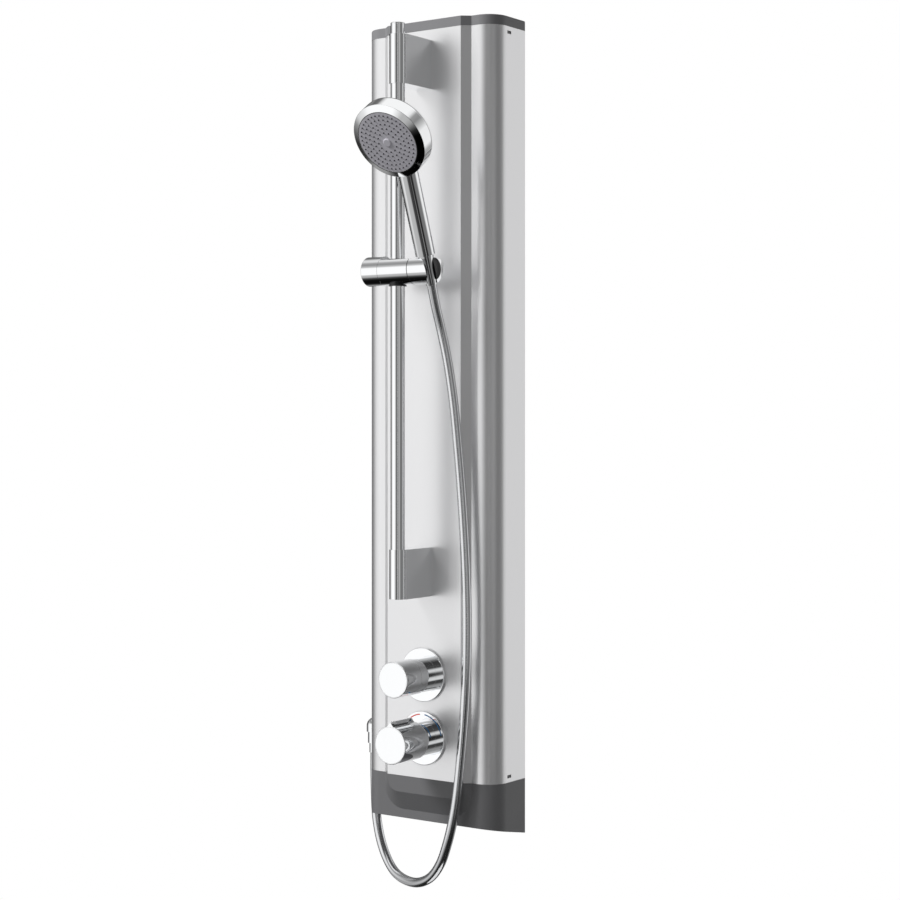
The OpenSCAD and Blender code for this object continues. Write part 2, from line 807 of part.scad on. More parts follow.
// Point on the smooth curve through the route, by the point's number and a share of the way on
function route_point(k, share) =
    let (p0 = hose_points[max(k - 1, 0)], p1 = hose_points[k], p2 = hose_points[k + 1],
        p3 = hose_points[min(k + 2, hose_last)])
    p1 + share / 2 * ((p2 - p0) + share * ((2 * p0 - 5 * p1 + 4 * p2 - p3)
        + share * (3 * p1 - p0 - 3 * p2 + p3)));
hose_curve = [for (k = [0 : hose_last - 1], j = [0 : hose_steps - 1])
    route_point(k, j / hose_steps), hose_end];
hose_rings = len(hose_curve);
function unit(v) = v / norm(v);
start_way = [0, sin(handset_tilt), -cos(handset_tilt)];
function curve_way(k) = k == 0 ? start_way : k == hose_rings - 1 ? [0, 0, 1]
    : unit(hose_curve[k + 1] - hose_curve[k - 1]);
// Sideways direction carried along the curve, so that the tube doesn't twist
function side_way(k, before) = unit(before - (before * curve_way(k)) * curve_way(k));
hose_sideways = [for (k = 0, side = side_way(0, [1, 0, 0]); k < hose_rings;
    k = k + 1, side = side_way(min(k, hose_rings - 1), side)) side];
hose_skin = [for (k = [0 : hose_rings - 1], j = [0 : hose_sides - 1])
    let (side = hose_sideways[k], other = cross(curve_way(k), side), turn = j * 360 / hose_sides)
    hose_curve[k] + hose_d / 2 * (cos(turn) * side + sin(turn) * other)];
hose_faces = concat([[for (j = [0 : hose_sides - 1]) j]],
    [for (k = [0 : hose_rings - 2], j = [0 : hose_sides - 1])
        let (a = k * hose_sides, b = a + hose_sides, n = (j + 1) % hose_sides) [a + j, b + j, b + n]],
    [for (k = [0 : hose_rings - 2], j = [0 : hose_sides - 1])
        let (a = k * hose_sides, b = a + hose_sides, n = (j + 1) % hose_sides) [a + j, b + n, a + n]],
    [[for (j = [hose_sides - 1 : -1 : 0]) (hose_rings - 1) * hose_sides + j]]);

module shower_hose() color("lightgray") polyhedron(points = hose_skin, faces = hose_faces);

// Turns a shape on the outlet's upright axis, z down from the elbow's middle
module below_elbow(d) translate([-elbow_x, outlet_y, outlet_z - d]) mirror([0, 0, 1]) children();

// End piece of the hose, whose flange is held inside the nut
module hose_ferrule() color("silver") below_elbow(elbow_down + lower_nut_len) difference() {
    union() {
        cylinder(r = ferrule_r, h = ferrule_len);
        translate([0, 0, -lower_nut_lip]) cylinder(r = ferrule_neck_r, h = lower_nut_lip + overrun);
        translate([0, 0, -ferrule_neck]) cylinder(r = elbow_nipple_r, h = ferrule_neck - lower_nut_lip);
    }
    translate([0, 0, -ferrule_neck - overrun])
        cylinder(d = hose_bore_d, h = ferrule_len + ferrule_neck + 2 * overrun);
}

module hose_washer() color("black") below_elbow(elbow_down + elbow_nipple_len)
    ring(elbow_nipple_r, hose_bore_d / 2, hose_washer_t);

module hose_lower_nut() color("silver") below_elbow(elbow_down) difference() {
    cylinder(r = lower_nut_r, h = lower_nut_len);
    translate([0, 0, -overrun])
        cylinder(r = elbow_nipple_r + slip, h = lower_nut_len - lower_nut_lip + overrun);
    cylinder(r = ferrule_neck_r + slip, h = lower_nut_len + overrun);
}

module outlet_elbow() color("silver") difference() {
    union() {
        below_elbow(0) {
            sphere(r = elbow_r);
            cylinder(r = elbow_r, h = elbow_down);
            cylinder(r = elbow_nipple_r, h = elbow_down + elbow_nipple_len);
        }
        translate([-elbow_x, outlet_y, outlet_z]) rotate([0, 90, 0]) {
            cylinder(r = elbow_neck_r, h = elbow_out + elbow_neck_in);
            cylinder(r = elbow_r, h = elbow_out - gasket_t);
            translate([0, 0, elbow_out - gasket_t - elbow_flange_t])
                cylinder(r = elbow_flange_r, h = elbow_flange_t);
        }
    }
    below_elbow(elbow_down) ring(elbow_r + overrun, elbow_nipple_r, elbow_r);
    below_elbow(0) cylinder(d = hose_bore_d, h = elbow_down + elbow_nipple_len + overrun);
    translate([-elbow_x, outlet_y, outlet_z]) rotate([0, 90, 0]) {
        cylinder(d = hose_bore_d, h = elbow_out + elbow_neck_in + overrun);
        translate([0, 0, elbow_out + elbow_neck_in - pipe_in])
            cylinder(r = pipe_r + slip, h = pipe_in + overrun);
    }
}

// Turns a shape on the outlet's level axis, z to the right from a distance left of the middle
module on_outlet(x) translate([-x, outlet_y, outlet_z]) rotate([0, 90, 0]) children();

module elbow_gasket() color("black") on_outlet(half_w + gasket_t)
    ring(elbow_flange_r, elbow_neck_r + slip, gasket_t);

module elbow_back_nut() color("goldenrod") on_outlet(half_w - panel_t) difference() {
    hex_bar(back_nut_flats, back_nut_t);
    translate([0, 0, -overrun]) cylinder(r = elbow_neck_r + slip, h = back_nut_t + 2 * overrun);
}

module outlet_pipe() color("orange") {
    start = half_w - elbow_neck_in + pipe_in;
    on_outlet(start) ring(pipe_r, pipe_bore_r, start - outlet_boss_len + pipe_in);
}

module outlet_pipe_nut() color("goldenrod") on_outlet(outlet_boss_len + pipe_nut_len) difference() {
    hex_bar(2 * pipe_nut_r, pipe_nut_len);
    translate([0, 0, -overrun]) cylinder(r = pipe_r + slip, h = pipe_nut_len + 2 * overrun);
}

// Stands a shape on an inlet's axis, z towards the wall from the end of the mixer's arm
module on_inlet(way, z = 0) translate([way * inlet_pitch / 2, -inlet_mouth - inlet_nut_len + z, mixer_z])
    rotate([-90, 0, 0]) children();

// Brass barrel with two inlet arms at the back, two noses in front and an outlet at its side
module mixer_body() color("goldenrod") difference() {
    union() {
        translate([0, mixer_y, temperature_z - barrel_over])
            cylinder(r = barrel_r, h = knob_pitch + 2 * barrel_over);
        translate([-inlet_pitch / 2, mixer_y, mixer_z]) rotate([0, 90, 0])
            cylinder(r = arm_r, h = inlet_pitch);
        for (way = [-1, 1]) {
            on_inlet(way, -arm_len) {
                sphere(r = arm_r);
                cylinder(r = arm_r, h = arm_len);
                cylinder(r = tail_r, h = arm_len + tail_len);
            }
            on_inlet(way, inlet_nut_lip + gap)
                cylinder(r = inlet_bore_d / 2 - seat, h = tail_len - inlet_nut_lip - gap);
        }
        for (z = [volume_z, temperature_z]) on_front(z, -mixer_y) {
            cylinder(r = nose_shoulder_r, h = front_d + mixer_y - panel_t);
            cylinder(r = nose_r, h = front_d + mixer_y + nose_len);
        }
        on_outlet(outlet_boss_len) cylinder(r = outlet_boss_r, h = outlet_boss_len);
    }
    for (z = [volume_z, temperature_z]) on_front(z, front_d + nose_len - cartridge_deep)
        cylinder(r = cartridge_bore_r, h = cartridge_deep + overrun);
    for (way = [-1, 1]) on_inlet(way, -arm_len) cylinder(r = arm_bore_r, h = arm_len + tail_len + overrun);
    on_outlet(outlet_boss_len + overrun) cylinder(r = pipe_r + slip, h = pipe_in + overrun);
}

// Union nut that turns on a tail of the mixer and screws onto the wall outlet
module inlet_nut(way) on_inlet(way) difference() {
    hex_bar(inlet_nut_flats, inlet_nut_len);
    translate([0, 0, -overrun]) cylinder(r = tail_r + slip, h = inlet_nut_len);
    translate([0, 0, inlet_nut_lip]) {
        cylinder(r = inlet_bore_d / 2 + relief, h = tail_len + strainer_t + gap - inlet_nut_lip);
        cylinder(d = inlet_bore_d, h = inlet_nut_len);
    }
}

module hot_inlet_nut() color("silver") inlet_nut(-1);

module cold_inlet_nut() color("silver") inlet_nut(1);

module inlet_strainers() color("black") for (way = [-1, 1]) on_inlet(way, tail_len)
    ring(inlet_bore_d / 2 - seat, hose_bore_d / 2, strainer_t);

module check_valve(way) on_inlet(way, tail_len - valve_len) ring(valve_r, valve_r / 2, valve_len);

module hot_check_valve() color("red") check_valve(-1);

module cold_check_valve() color("blue") check_valve(1);

// Flat ring with a rounded front edge, on the panel round a knob
module rosette(z) color("silver") on_front(z) difference() {
    rotate_extrude() {
        square([rosette_d / 2, rosette_t - edge_bevel]);
        square([rosette_d / 2 - edge_bevel, rosette_t]);
        translate([rosette_d / 2 - edge_bevel, rosette_t - edge_bevel]) circle(r = edge_bevel);
    }
    translate([0, 0, -overrun]) cylinder(r = nose_r + neck_hole_gap, h = rosette_t + 2 * overrun);
}

module volume_rosette() rosette(volume_z);

module temperature_rosette() rosette(temperature_z);

// Chrome ring nut that screws on a nose of the mixer and clamps the rosette to the panel.
// It is wider inside in front of the nose.
module ring_nut(len) difference() {
    cylinder(r = trim_r, h = len);
    translate([0, 0, -overrun]) cylinder(r = nose_r + slip, h = len + 2 * overrun);
    translate([0, 0, nose_len - rosette_t]) cylinder(r = trim_r - trim_t, h = len);
}

module volume_sleeve() color("silver") on_front(volume_z, front_d + rosette_t) ring_nut(trim_len);

module temperature_sleeve() color("silver")
    on_front(temperature_z, front_d + rosette_t) ring_nut(temperature_trim_len);

module volume_collar() color("silver") on_front(volume_z, front_d + collar_start) difference() {
    union() {
        cylinder(r = collar_r, h = collar_len);
        translate([0, 0, -collar_in]) cylinder(r = trim_r - trim_t - slip, h = collar_in + overrun);
    }
    translate([0, 0, -collar_in - overrun])
        cylinder(r = collar_bore_r, h = collar_in + collar_len + 2 * overrun);
}

// Valve insert in a nose of the mixer
module cartridge(z, neck) on_front(z, front_d + nose_len - cartridge_deep) difference() {
    union() {
        cylinder(r = cartridge_r, h = cartridge_deep);
        cylinder(r = cartridge_neck_r, h = cartridge_deep + neck);
    }
    translate([0, 0, cartridge_deep - spindle_root / 2]) cylinder(r = spindle_r + slip, h = spindle_root);
}

module volume_cartridge() color("dimgray") cartridge(volume_z, cartridge_neck_len);

module thermostat_cartridge() color("dimgray") cartridge(temperature_z, cartridge_neck_len);

// Spindle from its valve insert into the hub of its knob
module spindle(z, reach) {
    start = nose_len - spindle_root / 2 + gap;
    end = reach - knob_face_t - knob_hub_len + spindle_in_knob;
    on_front(z, front_d + start) cylinder(r = spindle_r, h = end - start);
}

module volume_spindle() color("goldenrod") spindle(volume_z, volume_reach);

module thermostat_spindle() color("goldenrod") spindle(temperature_z, temperature_reach);

// Cup-shaped knob with a hub for its spindle and a recess for its cap
module knob(d, len) {
    r = d / 2;
    hub_z = len - knob_face_t - knob_hub_len;
    difference() {
        rotate_extrude() {
            square([r - knob_edge_r, len]);
            square([r, len - knob_edge_r]);
            translate([r - knob_edge_r, len - knob_edge_r]) circle(r = knob_edge_r);
        }
        difference() {
            translate([0, 0, -overrun]) cylinder(r = r - knob_wall, h = len - knob_face_t + overrun);
            translate([0, 0, hub_z]) cylinder(r = knob_hub_r, h = knob_hub_len);
        }
        translate([0, 0, hub_z - overrun])
            cylinder(r = spindle_r + slip, h = spindle_in_knob + overrun + gap);
        translate([0, 0, len - knob_cap_t])
            cylinder(r = r - knob_cap_edge + slip, h = knob_cap_t + overrun);
    }
}

module knob_cap(d, len) translate([0, 0, len - knob_cap_t])
    cylinder(r = d / 2 - knob_cap_edge, h = knob_cap_t);

module on_volume_knob() on_front(volume_z, front_d + volume_start) children();

module volume_knob() color("silver") on_volume_knob() knob(volume_d, volume_len);

module volume_knob_cap() color("silver") on_volume_knob() knob_cap(volume_d, volume_len);

module on_temperature_knob() on_front(temperature_z, front_d + temperature_start) children();

// Section of the pointer along the top of the temperature knob
module lug_outline() {
    foot_y = temperature_r - lug_sink;
    tip_y = temperature_r + lug_rise - lug_tip_r;
    polygon([[-lug_foot, foot_y], [-lug_tip_r, tip_y], [lug_tip_r, tip_y], [lug_foot, foot_y]]);
    translate([0, tip_y]) circle(r = lug_tip_r, $fn = soft_fn);
}

// Upright bar with rounded ends in the pointer, between two heights and grown by a gap
module button_bar(low, high, grow) {
    straight = button_len / 2 - button_r;
    translate([0, low, button_start + button_len / 2]) rotate([-90, 0, 0]) linear_extrude(high - low) {
        square([2 * (button_r + grow), 2 * straight], center = true);
        for (way = [-1, 1]) translate([0, way * straight]) circle(r = button_r + grow);
    }
}

module temperature_knob() color("silver") on_temperature_knob() difference() {
    union() {
        knob(temperature_d, temperature_len);
        translate([0, 0, lug_start]) linear_extrude(lug_len) lug_outline();
    }
    button_bar(button_low - button_travel - gap, button_high, gap);
}

module temperature_knob_cap() color("silver")
    on_temperature_knob() knob_cap(temperature_d, temperature_len);

module temperature_stop_button() color("gray") on_temperature_knob() button_bar(button_low, button_high, 0);

front_panel();
top_cap();
bottom_cover();
upper_wall_bracket();
lower_wall_bracket();
slide_rail();
rail_end_plugs();
upper_rail_bracket();
lower_rail_bracket();
upper_rail_sleeve();
lower_rail_sleeve();
rail_backing_plates();
rail_bracket_screws();
slider_bush();
slider_body();
clamp_grip();
clamp_screw();
clamp_shoe();
holder_sleeve();
holder_insert();
holder_axle();
axle_pin();
friction_washer();
handset_body();
head_ring();
spray_face();
spray_nozzles();
face_boss();
inlet_spigot();
spigot_seal();
hose_cone_nut();
shower_hose();
hose_ferrule();
hose_washer();
hose_lower_nut();
outlet_elbow();
elbow_gasket();
elbow_back_nut();
outlet_pipe();
outlet_pipe_nut();
mixer_body();
hot_inlet_nut();
cold_inlet_nut();
inlet_strainers();
hot_check_valve();
cold_check_valve();
volume_rosette();
volume_sleeve();
volume_collar();
volume_cartridge();
volume_spindle();
volume_knob();
volume_knob_cap();
temperature_rosette();
temperature_sleeve();
thermostat_cartridge();
thermostat_spindle();
temperature_knob();
temperature_knob_cap();
temperature_stop_button();
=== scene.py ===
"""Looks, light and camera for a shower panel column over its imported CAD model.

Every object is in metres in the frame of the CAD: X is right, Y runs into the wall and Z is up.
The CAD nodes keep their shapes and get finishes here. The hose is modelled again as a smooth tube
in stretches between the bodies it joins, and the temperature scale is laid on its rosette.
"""

import logging
import math
from collections.abc import Sequence
from dataclasses import dataclass, field
from enum import Enum
from typing import Any

import bpy
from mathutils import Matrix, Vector


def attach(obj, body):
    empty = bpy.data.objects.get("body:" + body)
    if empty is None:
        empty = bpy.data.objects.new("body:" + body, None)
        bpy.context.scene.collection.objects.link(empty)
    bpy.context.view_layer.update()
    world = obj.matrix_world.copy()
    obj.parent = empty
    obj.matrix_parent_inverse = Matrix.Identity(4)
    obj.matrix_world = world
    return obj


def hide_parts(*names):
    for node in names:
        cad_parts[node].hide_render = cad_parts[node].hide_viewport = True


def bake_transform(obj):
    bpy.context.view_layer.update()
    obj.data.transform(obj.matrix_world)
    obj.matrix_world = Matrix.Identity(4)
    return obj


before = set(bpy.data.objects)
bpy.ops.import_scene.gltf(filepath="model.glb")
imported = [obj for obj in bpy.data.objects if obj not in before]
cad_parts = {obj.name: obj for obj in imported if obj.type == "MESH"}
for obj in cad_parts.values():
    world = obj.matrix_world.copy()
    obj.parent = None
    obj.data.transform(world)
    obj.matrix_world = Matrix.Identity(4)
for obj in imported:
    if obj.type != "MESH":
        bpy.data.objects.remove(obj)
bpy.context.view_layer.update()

log = logging.getLogger("shower_panel")

MM = 0.001
WHITE = (1.0, 1.0, 1.0, 1.0)
LEAST_ROUGHNESS = 0.01
EDGE_SAMPLES = 4


class Body(Enum):
    """The CAD bodies that pieces ride on or run between."""

    PANEL = "panel"
    CARRIAGE = "carriage"
    SLIDER = "slider"
    HOLDER = "holder"
    HOSE_NUT = "hose_nut"


class Slot(Enum):
    """The material slots of the record for new pieces."""

    SILVER_HOSE = "silver_hose"
    RED_PLASTIC = "red_plastic"
    BLUE_PLASTIC = "blue_plastic"


def linear(colour: str) -> tuple[float, float, float, float]:
    """Turns an sRGB hex colour to linear values.

    Args:
        colour: Six hex digits after a hash sign.

    Returns:
        Red, green, blue and an alpha of 1, all from 0 to 1.
    """
    shares = [int(colour[k : k + 2], 16) / 255 for k in (1, 3, 5)]
    red, green, blue = (s / 12.92 if s <= 0.04045 else ((s + 0.055) / 1.055) ** 2.4 for s in shares)
    return red, green, blue, 1.0


def grey(level: float) -> tuple[float, float, float, float]:
    """Gives a linear grey of one level."""
    return level, level, level, 1.0


def put(
    tree: bpy.types.NodeTree,
    kind: str,
    inputs: dict[str | int, Any] | None = None,
    stops: Sequence[tuple[float, tuple[float, float, float, float]]] = (),
    **settings: Any,
) -> bpy.types.Node:
    """Adds a node with its settings, its input values and its links.

    Args:
        tree: The node tree that gets the node.
        kind: Blender's name for the node's type.
        inputs: A value or another node's output socket for each input, by name or number.
        stops: Places and colours along the ramp, for a node that has one.
        settings: Properties of the node itself.

    Returns:
        The new node.
    """
    node = tree.nodes.new(kind)
    for name, value in settings.items():
        setattr(node, name, value)
    for key, value in (inputs or {}).items():
        if isinstance(value, bpy.types.NodeSocket):
            tree.links.new(value, node.inputs[key])
        else:
            node.inputs[key].default_value = value
    if stops:
        ramp = node.color_ramp.elements
        while len(ramp) < len(stops):
            ramp.new(0.5)
        for element, (place, colour) in zip(ramp, stops, strict=True):
            element.position, element.color = place, colour
    return node


@dataclass(frozen=True)
class Finish:
    """A real material and the way its surface was made.

    Attributes:
        name: The material's common name and how it was finished.
        colour: Its base colour in sRGB.
        metallic: 1 for metal and plating, 0 for plastics and rubber.
        roughness: Roughness of the smooth surface.
        edge_mm: How far its edges look rounded.
        settings: Other sockets of the shader that are the same all over.
        rough_by: How far the pattern moves the roughness up and down.
        dark_by: By what share the colour goes darker where the pattern is 0.
        deep_mm: Height of the relief in millimetres.
        strength: Blender's strength of the relief.
    """

    name: str
    colour: str
    metallic: float = 0.0
    roughness: float = 0.4
    edge_mm: float = 0.0
    settings: dict[str, float] = field(default_factory=dict)
    rough_by: float = 0.0
    dark_by: float = 0.0
    deep_mm: float = 0.0
    strength: float = 0.0

    def material(self) -> bpy.types.Material:
        """Builds the material once and gives the same one afterwards.

        Returns:
            The material.
        """
        found = bpy.data.materials.get(self.name)
        if found:
            return found
        made = bpy.data.materials.new(self.name)
        made.use_nodes = True
        tree = made.node_tree
        tree.nodes.clear()
        shader = put(
            tree,
            "ShaderNodeBsdfPrincipled",
            {
                "Base Color": linear(self.colour),
                "Metallic": self.metallic,
                "Roughness": self.roughness,
                **self.settings,
            },
        )
        put(tree, "ShaderNodeOutputMaterial", {"Surface": shader.outputs["BSDF"]})
        self.pattern(tree, shader)
        return made

    def pattern(self, tree: bpy.types.NodeTree, shader: bpy.types.Node) -> None:
        """Adds the surface's own detail to its shader, in the way of each finish."""
        raise NotImplementedError

    def places(self, tree: bpy.types.NodeTree, size_mm: tuple[float, float, float]) -> bpy.types.NodeSocket:
        """Gives surface coordinates in which one unit is a real size along each axis.

        Args:
            tree: The material's node tree.
            size_mm: The pattern's size along X, Y and Z in millimetres.

        Returns:
            The socket that carries the coordinates.
        """
        where = put(tree, "ShaderNodeTexCoord")
        scaled = put(
            tree,
            "ShaderNodeMapping",
            {"Vector": where.outputs["Object"], "Scale": tuple(1 / (size * MM) for size in size_mm)},
        )
        return scaled.outputs["Vector"]

    def vary(
        self,
        tree: bpy.types.NodeTree,
        shader: bpy.types.Node,
        shade: bpy.types.NodeSocket,
    ) -> None:
        """Lets a pattern change the roughness and the colour a little.

        Args:
            tree: The material's node tree.
            shader: Its shader node.
            shade: The pattern, from 0 to 1.
        """
        smoothest = max(self.roughness - self.rough_by, LEAST_ROUGHNESS)
        roughness = put(
            tree,
            "ShaderNodeMapRange",
            {"Value": shade, "To Min": smoothest, "To Max": self.roughness + self.rough_by},
        )
        tree.links.new(roughness.outputs["Result"], shader.inputs["Roughness"])
        red, green, blue, alpha = linear(self.colour)
        kept = 1 - self.dark_by
        darker = (red * kept, green * kept, blue * kept, alpha)
        colour = put(
            tree,
            "ShaderNodeMix",
            {"Factor": shade, 6: darker, 7: linear(self.colour)},
            data_type="RGBA",
        )
        tree.links.new(colour.outputs[2], shader.inputs["Base Color"])

    def relief(
        self,
        tree: bpy.types.NodeTree,
        shader: bpy.types.Node,
        height: bpy.types.NodeSocket,
    ) -> None:
        """Raises the surface by a pattern and rounds its edges for the light.

        Args:
            tree: The material's node tree.
            shader: Its shader node.
            height: The pattern, from 0 to 1.
        """
        inputs: dict[str | int, Any] = {
            "Height": height,
            "Distance": self.deep_mm * MM,
            "Strength": self.strength,
        }
        if self.edge_mm:
            rounded = put(tree, "ShaderNodeBevel", {"Radius": self.edge_mm * MM}, samples=EDGE_SAMPLES)
            inputs["Normal"] = rounded.outputs["Normal"]
        bump = put(tree, "ShaderNodeBump", inputs)
        tree.links.new(bump.outputs["Normal"], shader.inputs["Normal"])


@dataclass(frozen=True)
class Anodised(Finish):
    """Extruded aluminium, etched matt and clear anodised.

    The eye sees soft, blurred reflections and very faint lines along the profile from the die.
    """

    rough_by: float = 0.012
    dark_by: float = 0.012
    deep_mm: float = 0.004
    strength: float = 0.08
    line_mm: float = 1.1
    line_long_mm: float = 400.0
    etch_mm: float = 0.6

    def pattern(self, tree: bpy.types.NodeTree, shader: bpy.types.Node) -> None:
        """Lays the die's long lines over the etched grain.

        Args:
            tree: The material's node tree.
            shader: Its shader node.
        """
        # Die lines are some tenths of a millimetre apart, drawn coarser so that they show.
        size_mm = (self.line_mm, self.line_mm, self.line_long_mm)
        lines = put(
            tree,
            "ShaderNodeTexNoise",
            {"Vector": self.places(tree, size_mm), "Scale": 1.0, "Detail": 3.0},
        )
        etch = put(
            tree,
            "ShaderNodeTexNoise",
            {"Vector": self.places(tree, (self.etch_mm,) * 3), "Scale": 1.0, "Detail": 2.0},
        )
        self.vary(tree, shader, lines.outputs["Fac"])
        self.relief(tree, shader, etch.outputs["Fac"])


@dataclass(frozen=True)
class Moulded(Finish):
    """Moulded plastic whose tool was spark eroded to a fine even grain.

    The eye sees a soft broad shine that is a little broken up by the grain.
    """

    rough_by: float = 0.05
    dark_by: float = 0.05
    deep_mm: float = 0.02
    strength: float = 0.25
    grain_mm: float = 0.7
    flow_mm: float = 60.0

    def pattern(self, tree: bpy.types.NodeTree, shader: bpy.types.Node) -> None:
        """Lays the tool's grain over slow changes of shine from the moulding.

        Args:
            tree: The material's node tree.
            shader: Its shader node.
        """
        # Eroded grain is about 0.1 mm, drawn coarser so that it shows.
        grain = put(
            tree,
            "ShaderNodeTexNoise",
            {"Vector": self.places(tree, (self.grain_mm,) * 3), "Scale": 1.0, "Detail": 4.0},
        )
        flow = put(
            tree,
            "ShaderNodeTexNoise",
            {"Vector": self.places(tree, (self.flow_mm,) * 3), "Scale": 1.0, "Detail": 2.0},
        )
        self.vary(tree, shader, flow.outputs["Fac"])
        self.relief(tree, shader, grain.outputs["Fac"])


@dataclass(frozen=True)
class Plated(Finish):
    """Polished and chromium plated.

    The eye sees a mirror with a faint waviness left by polishing or moulding under the plating,
    and a slight haze that changes slowly over the surface.
    """

    rough_by: float = 0.012
    dark_by: float = 0.015
    deep_mm: float = 0.004
    strength: float = 1.0
    wave_mm: float = 14.0
    haze_mm: float = 5.0

    def pattern(self, tree: bpy.types.NodeTree, shader: bpy.types.Node) -> None:
        """Lays the polishing waves under the plating and the haze over it.

        Args:
            tree: The material's node tree.
            shader: Its shader node.
        """
        haze = put(
            tree,
            "ShaderNodeTexNoise",
            {"Vector": self.places(tree, (self.haze_mm,) * 3), "Scale": 1.0, "Detail": 3.0},
        )
        waves = put(
            tree,
            "ShaderNodeTexNoise",
            {"Vector": self.places(tree, (self.wave_mm,) * 3), "Scale": 1.0, "Detail": 0.0},
        )
        self.vary(tree, shader, haze.outputs["Fac"])
        self.relief(tree, shader, waves.outputs["Fac"])


@dataclass(frozen=True)
class Spangled(Finish):
    """Zinc plated steel, whose crystals take the light in slightly different ways."""

    rough_by: float = 0.08
    dark_by: float = 0.16
    deep_mm: float = 0.01
    strength: float = 0.15
    crystal_mm: float = 4.0

    def pattern(self, tree: bpy.types.NodeTree, shader: bpy.types.Node) -> None:
        """Lays the crystals of the zinc over the steel.

        Args:
            tree: The material's node tree.
            shader: Its shader node.
        """
        crystals = put(
            tree,
            "ShaderNodeTexVoronoi",
            {"Vector": self.places(tree, (self.crystal_mm,) * 3), "Scale": 1.0},
            feature="F1",
        )
        level = put(tree, "ShaderNodeSeparateColor", {"Color": crystals.outputs["Color"]})
        self.vary(tree, shader, level.outputs["Red"])
        self.relief(tree, shader, crystals.outputs["Distance"])


@dataclass(frozen=True)
class Machined(Finish):
    """Metal turned or drawn, which keeps fine tool lines across the way it was cut.

    The eye sees narrow lines that stretch each highlight.
    """

    rough_by: float = 0.08
    dark_by: float = 0.12
    deep_mm: float = 0.02
    strength: float = 0.3
    line_mm: tuple[float, float, float] = (8.0, 0.5, 8.0)

    def pattern(self, tree: bpy.types.NodeTree, shader: bpy.types.Node) -> None:
        """Lays the tool lines over the metal.

        Args:
            tree: The material's node tree.
            shader: Its shader node.
        """
        # Feed lines are 0.1 to 0.2 mm apart, drawn coarser so that they show.
        lines = put(
            tree,
            "ShaderNodeTexNoise",
            {"Vector": self.places(tree, self.line_mm), "Scale": 1.0, "Detail": 3.0},
        )
        self.vary(tree, shader, lines.outputs["Fac"])
        self.relief(tree, shader, lines.outputs["Fac"])


@dataclass(frozen=True)
class Cast(Finish):
    """Sand cast metal with a pitted skin, dull and darker in its pits."""

    rough_by: float = 0.15
    dark_by: float = 0.3
    deep_mm: float = 0.15
    strength: float = 0.6
    pit_mm: float = 1.2

    def pattern(self, tree: bpy.types.NodeTree, shader: bpy.types.Node) -> None:
        """Lays the sand's pits over the casting.

        Args:
            tree: The material's node tree.
            shader: Its shader node.
        """
        pits = put(
            tree,
            "ShaderNodeTexNoise",
            {"Vector": self.places(tree, (self.pit_mm,) * 3), "Scale": 1.0, "Detail": 5.0},
        )
        self.vary(tree, shader, pits.outputs["Fac"])
        self.relief(tree, shader, pits.outputs["Fac"])


@dataclass(frozen=True)
class HoseSkin(Finish):
    """Clear smooth PVC over a silver helix.

    The eye sees a smooth tube with a bright line, and faint slanting bands of the helix under it.
    """

    rough_by: float = 0.015
    dark_by: float = 0.04
    deep_mm: float = 0.005
    strength: float = 0.1
    pitch_mm: float = 3.2

    def pattern(self, tree: bpy.types.NodeTree, shader: bpy.types.Node) -> None:
        """Winds the helix along the tube by its own map of turns and metres.

        Args:
            tree: The material's node tree.
            shader: Its shader node.
        """
        where = put(tree, "ShaderNodeUVMap", uv_map="turns_and_metres")
        axes = put(tree, "ShaderNodeSeparateXYZ", {"Vector": where.outputs["UV"]})
        metres = put(
            tree,
            "ShaderNodeMath",
            {0: axes.outputs["Y"], 1: 1 / (self.pitch_mm * MM), 2: axes.outputs["X"]},
            operation="MULTIPLY_ADD",
        )
        turn = put(tree, "ShaderNodeMath", {0: metres.outputs[0], 1: 2 * math.pi}, operation="MULTIPLY")
        wave = put(tree, "ShaderNodeMath", {0: turn.outputs[0]}, operation="SINE")
        band = put(tree, "ShaderNodeMapRange", {"Value": wave.outputs[0], "From Min": -1.0, "From Max": 1.0})
        self.vary(tree, shader, band.outputs["Result"])
        self.relief(tree, shader, band.outputs["Result"])


SATIN_ALUMINIUM = Anodised("satin_anodised_aluminium", "#F1F1F2", 0.85, 0.34, 0.4)
GREY_ABS = Moulded("moulded_grey_abs", "#7C7C7E", 0.0, 0.42, 0.8, {"IOR": 1.5})
CHROMED_STEEL = Plated("polished_chromed_steel", "#FBFCFD", 1.0, 0.03, 0.3, deep_mm=0.0015)
CHROMED_BRASS = Plated("polished_chromed_brass", "#FBFCFD", 1.0, 0.035, 0.3, deep_mm=0.002)
CHROMED_ZINC = Plated("polished_chromed_zinc_casting", "#FAFBFC", 1.0, 0.04, 0.3, deep_mm=0.003)
CHROMED_ABS = Plated("chromed_moulded_abs", "#FAFBFC", 1.0, 0.045, 0.4, deep_mm=0.004)
FACE_ABS = Moulded("moulded_satin_grey_abs", "#D6D4DC", 0.0, 0.38, 0.3, {"IOR": 1.5}, grain_mm=0.5)
NOZZLE_SILICONE = Moulded("moulded_grey_silicone", "#47464C", 0.0, 0.5, 0.2, {"IOR": 1.43}, grain_mm=0.3)
DARK_POM = Moulded("moulded_black_pom", "#1E1E20", 0.0, 0.3, 0.3, {"IOR": 1.48})
BLACK_RUBBER = Moulded("moulded_black_epdm_rubber", "#151515", 0.0, 0.62, 0.2, {"IOR": 1.5}, grain_mm=0.4)
RED_ABS = Moulded("moulded_red_abs", "#E8503F", 0.0, 0.35, 0.0, {"IOR": 1.5})
BLUE_ABS = Moulded("moulded_blue_abs", "#3C83BE", 0.0, 0.35, 0.0, {"IOR": 1.5})
ZINC_STEEL = Spangled("zinc_plated_steel_sheet", "#BFC3C8", 1.0, 0.34, 0.2)
CAST_BRASS = Cast("sand_cast_brass", "#C2A062", 1.0, 0.45, 0.5)
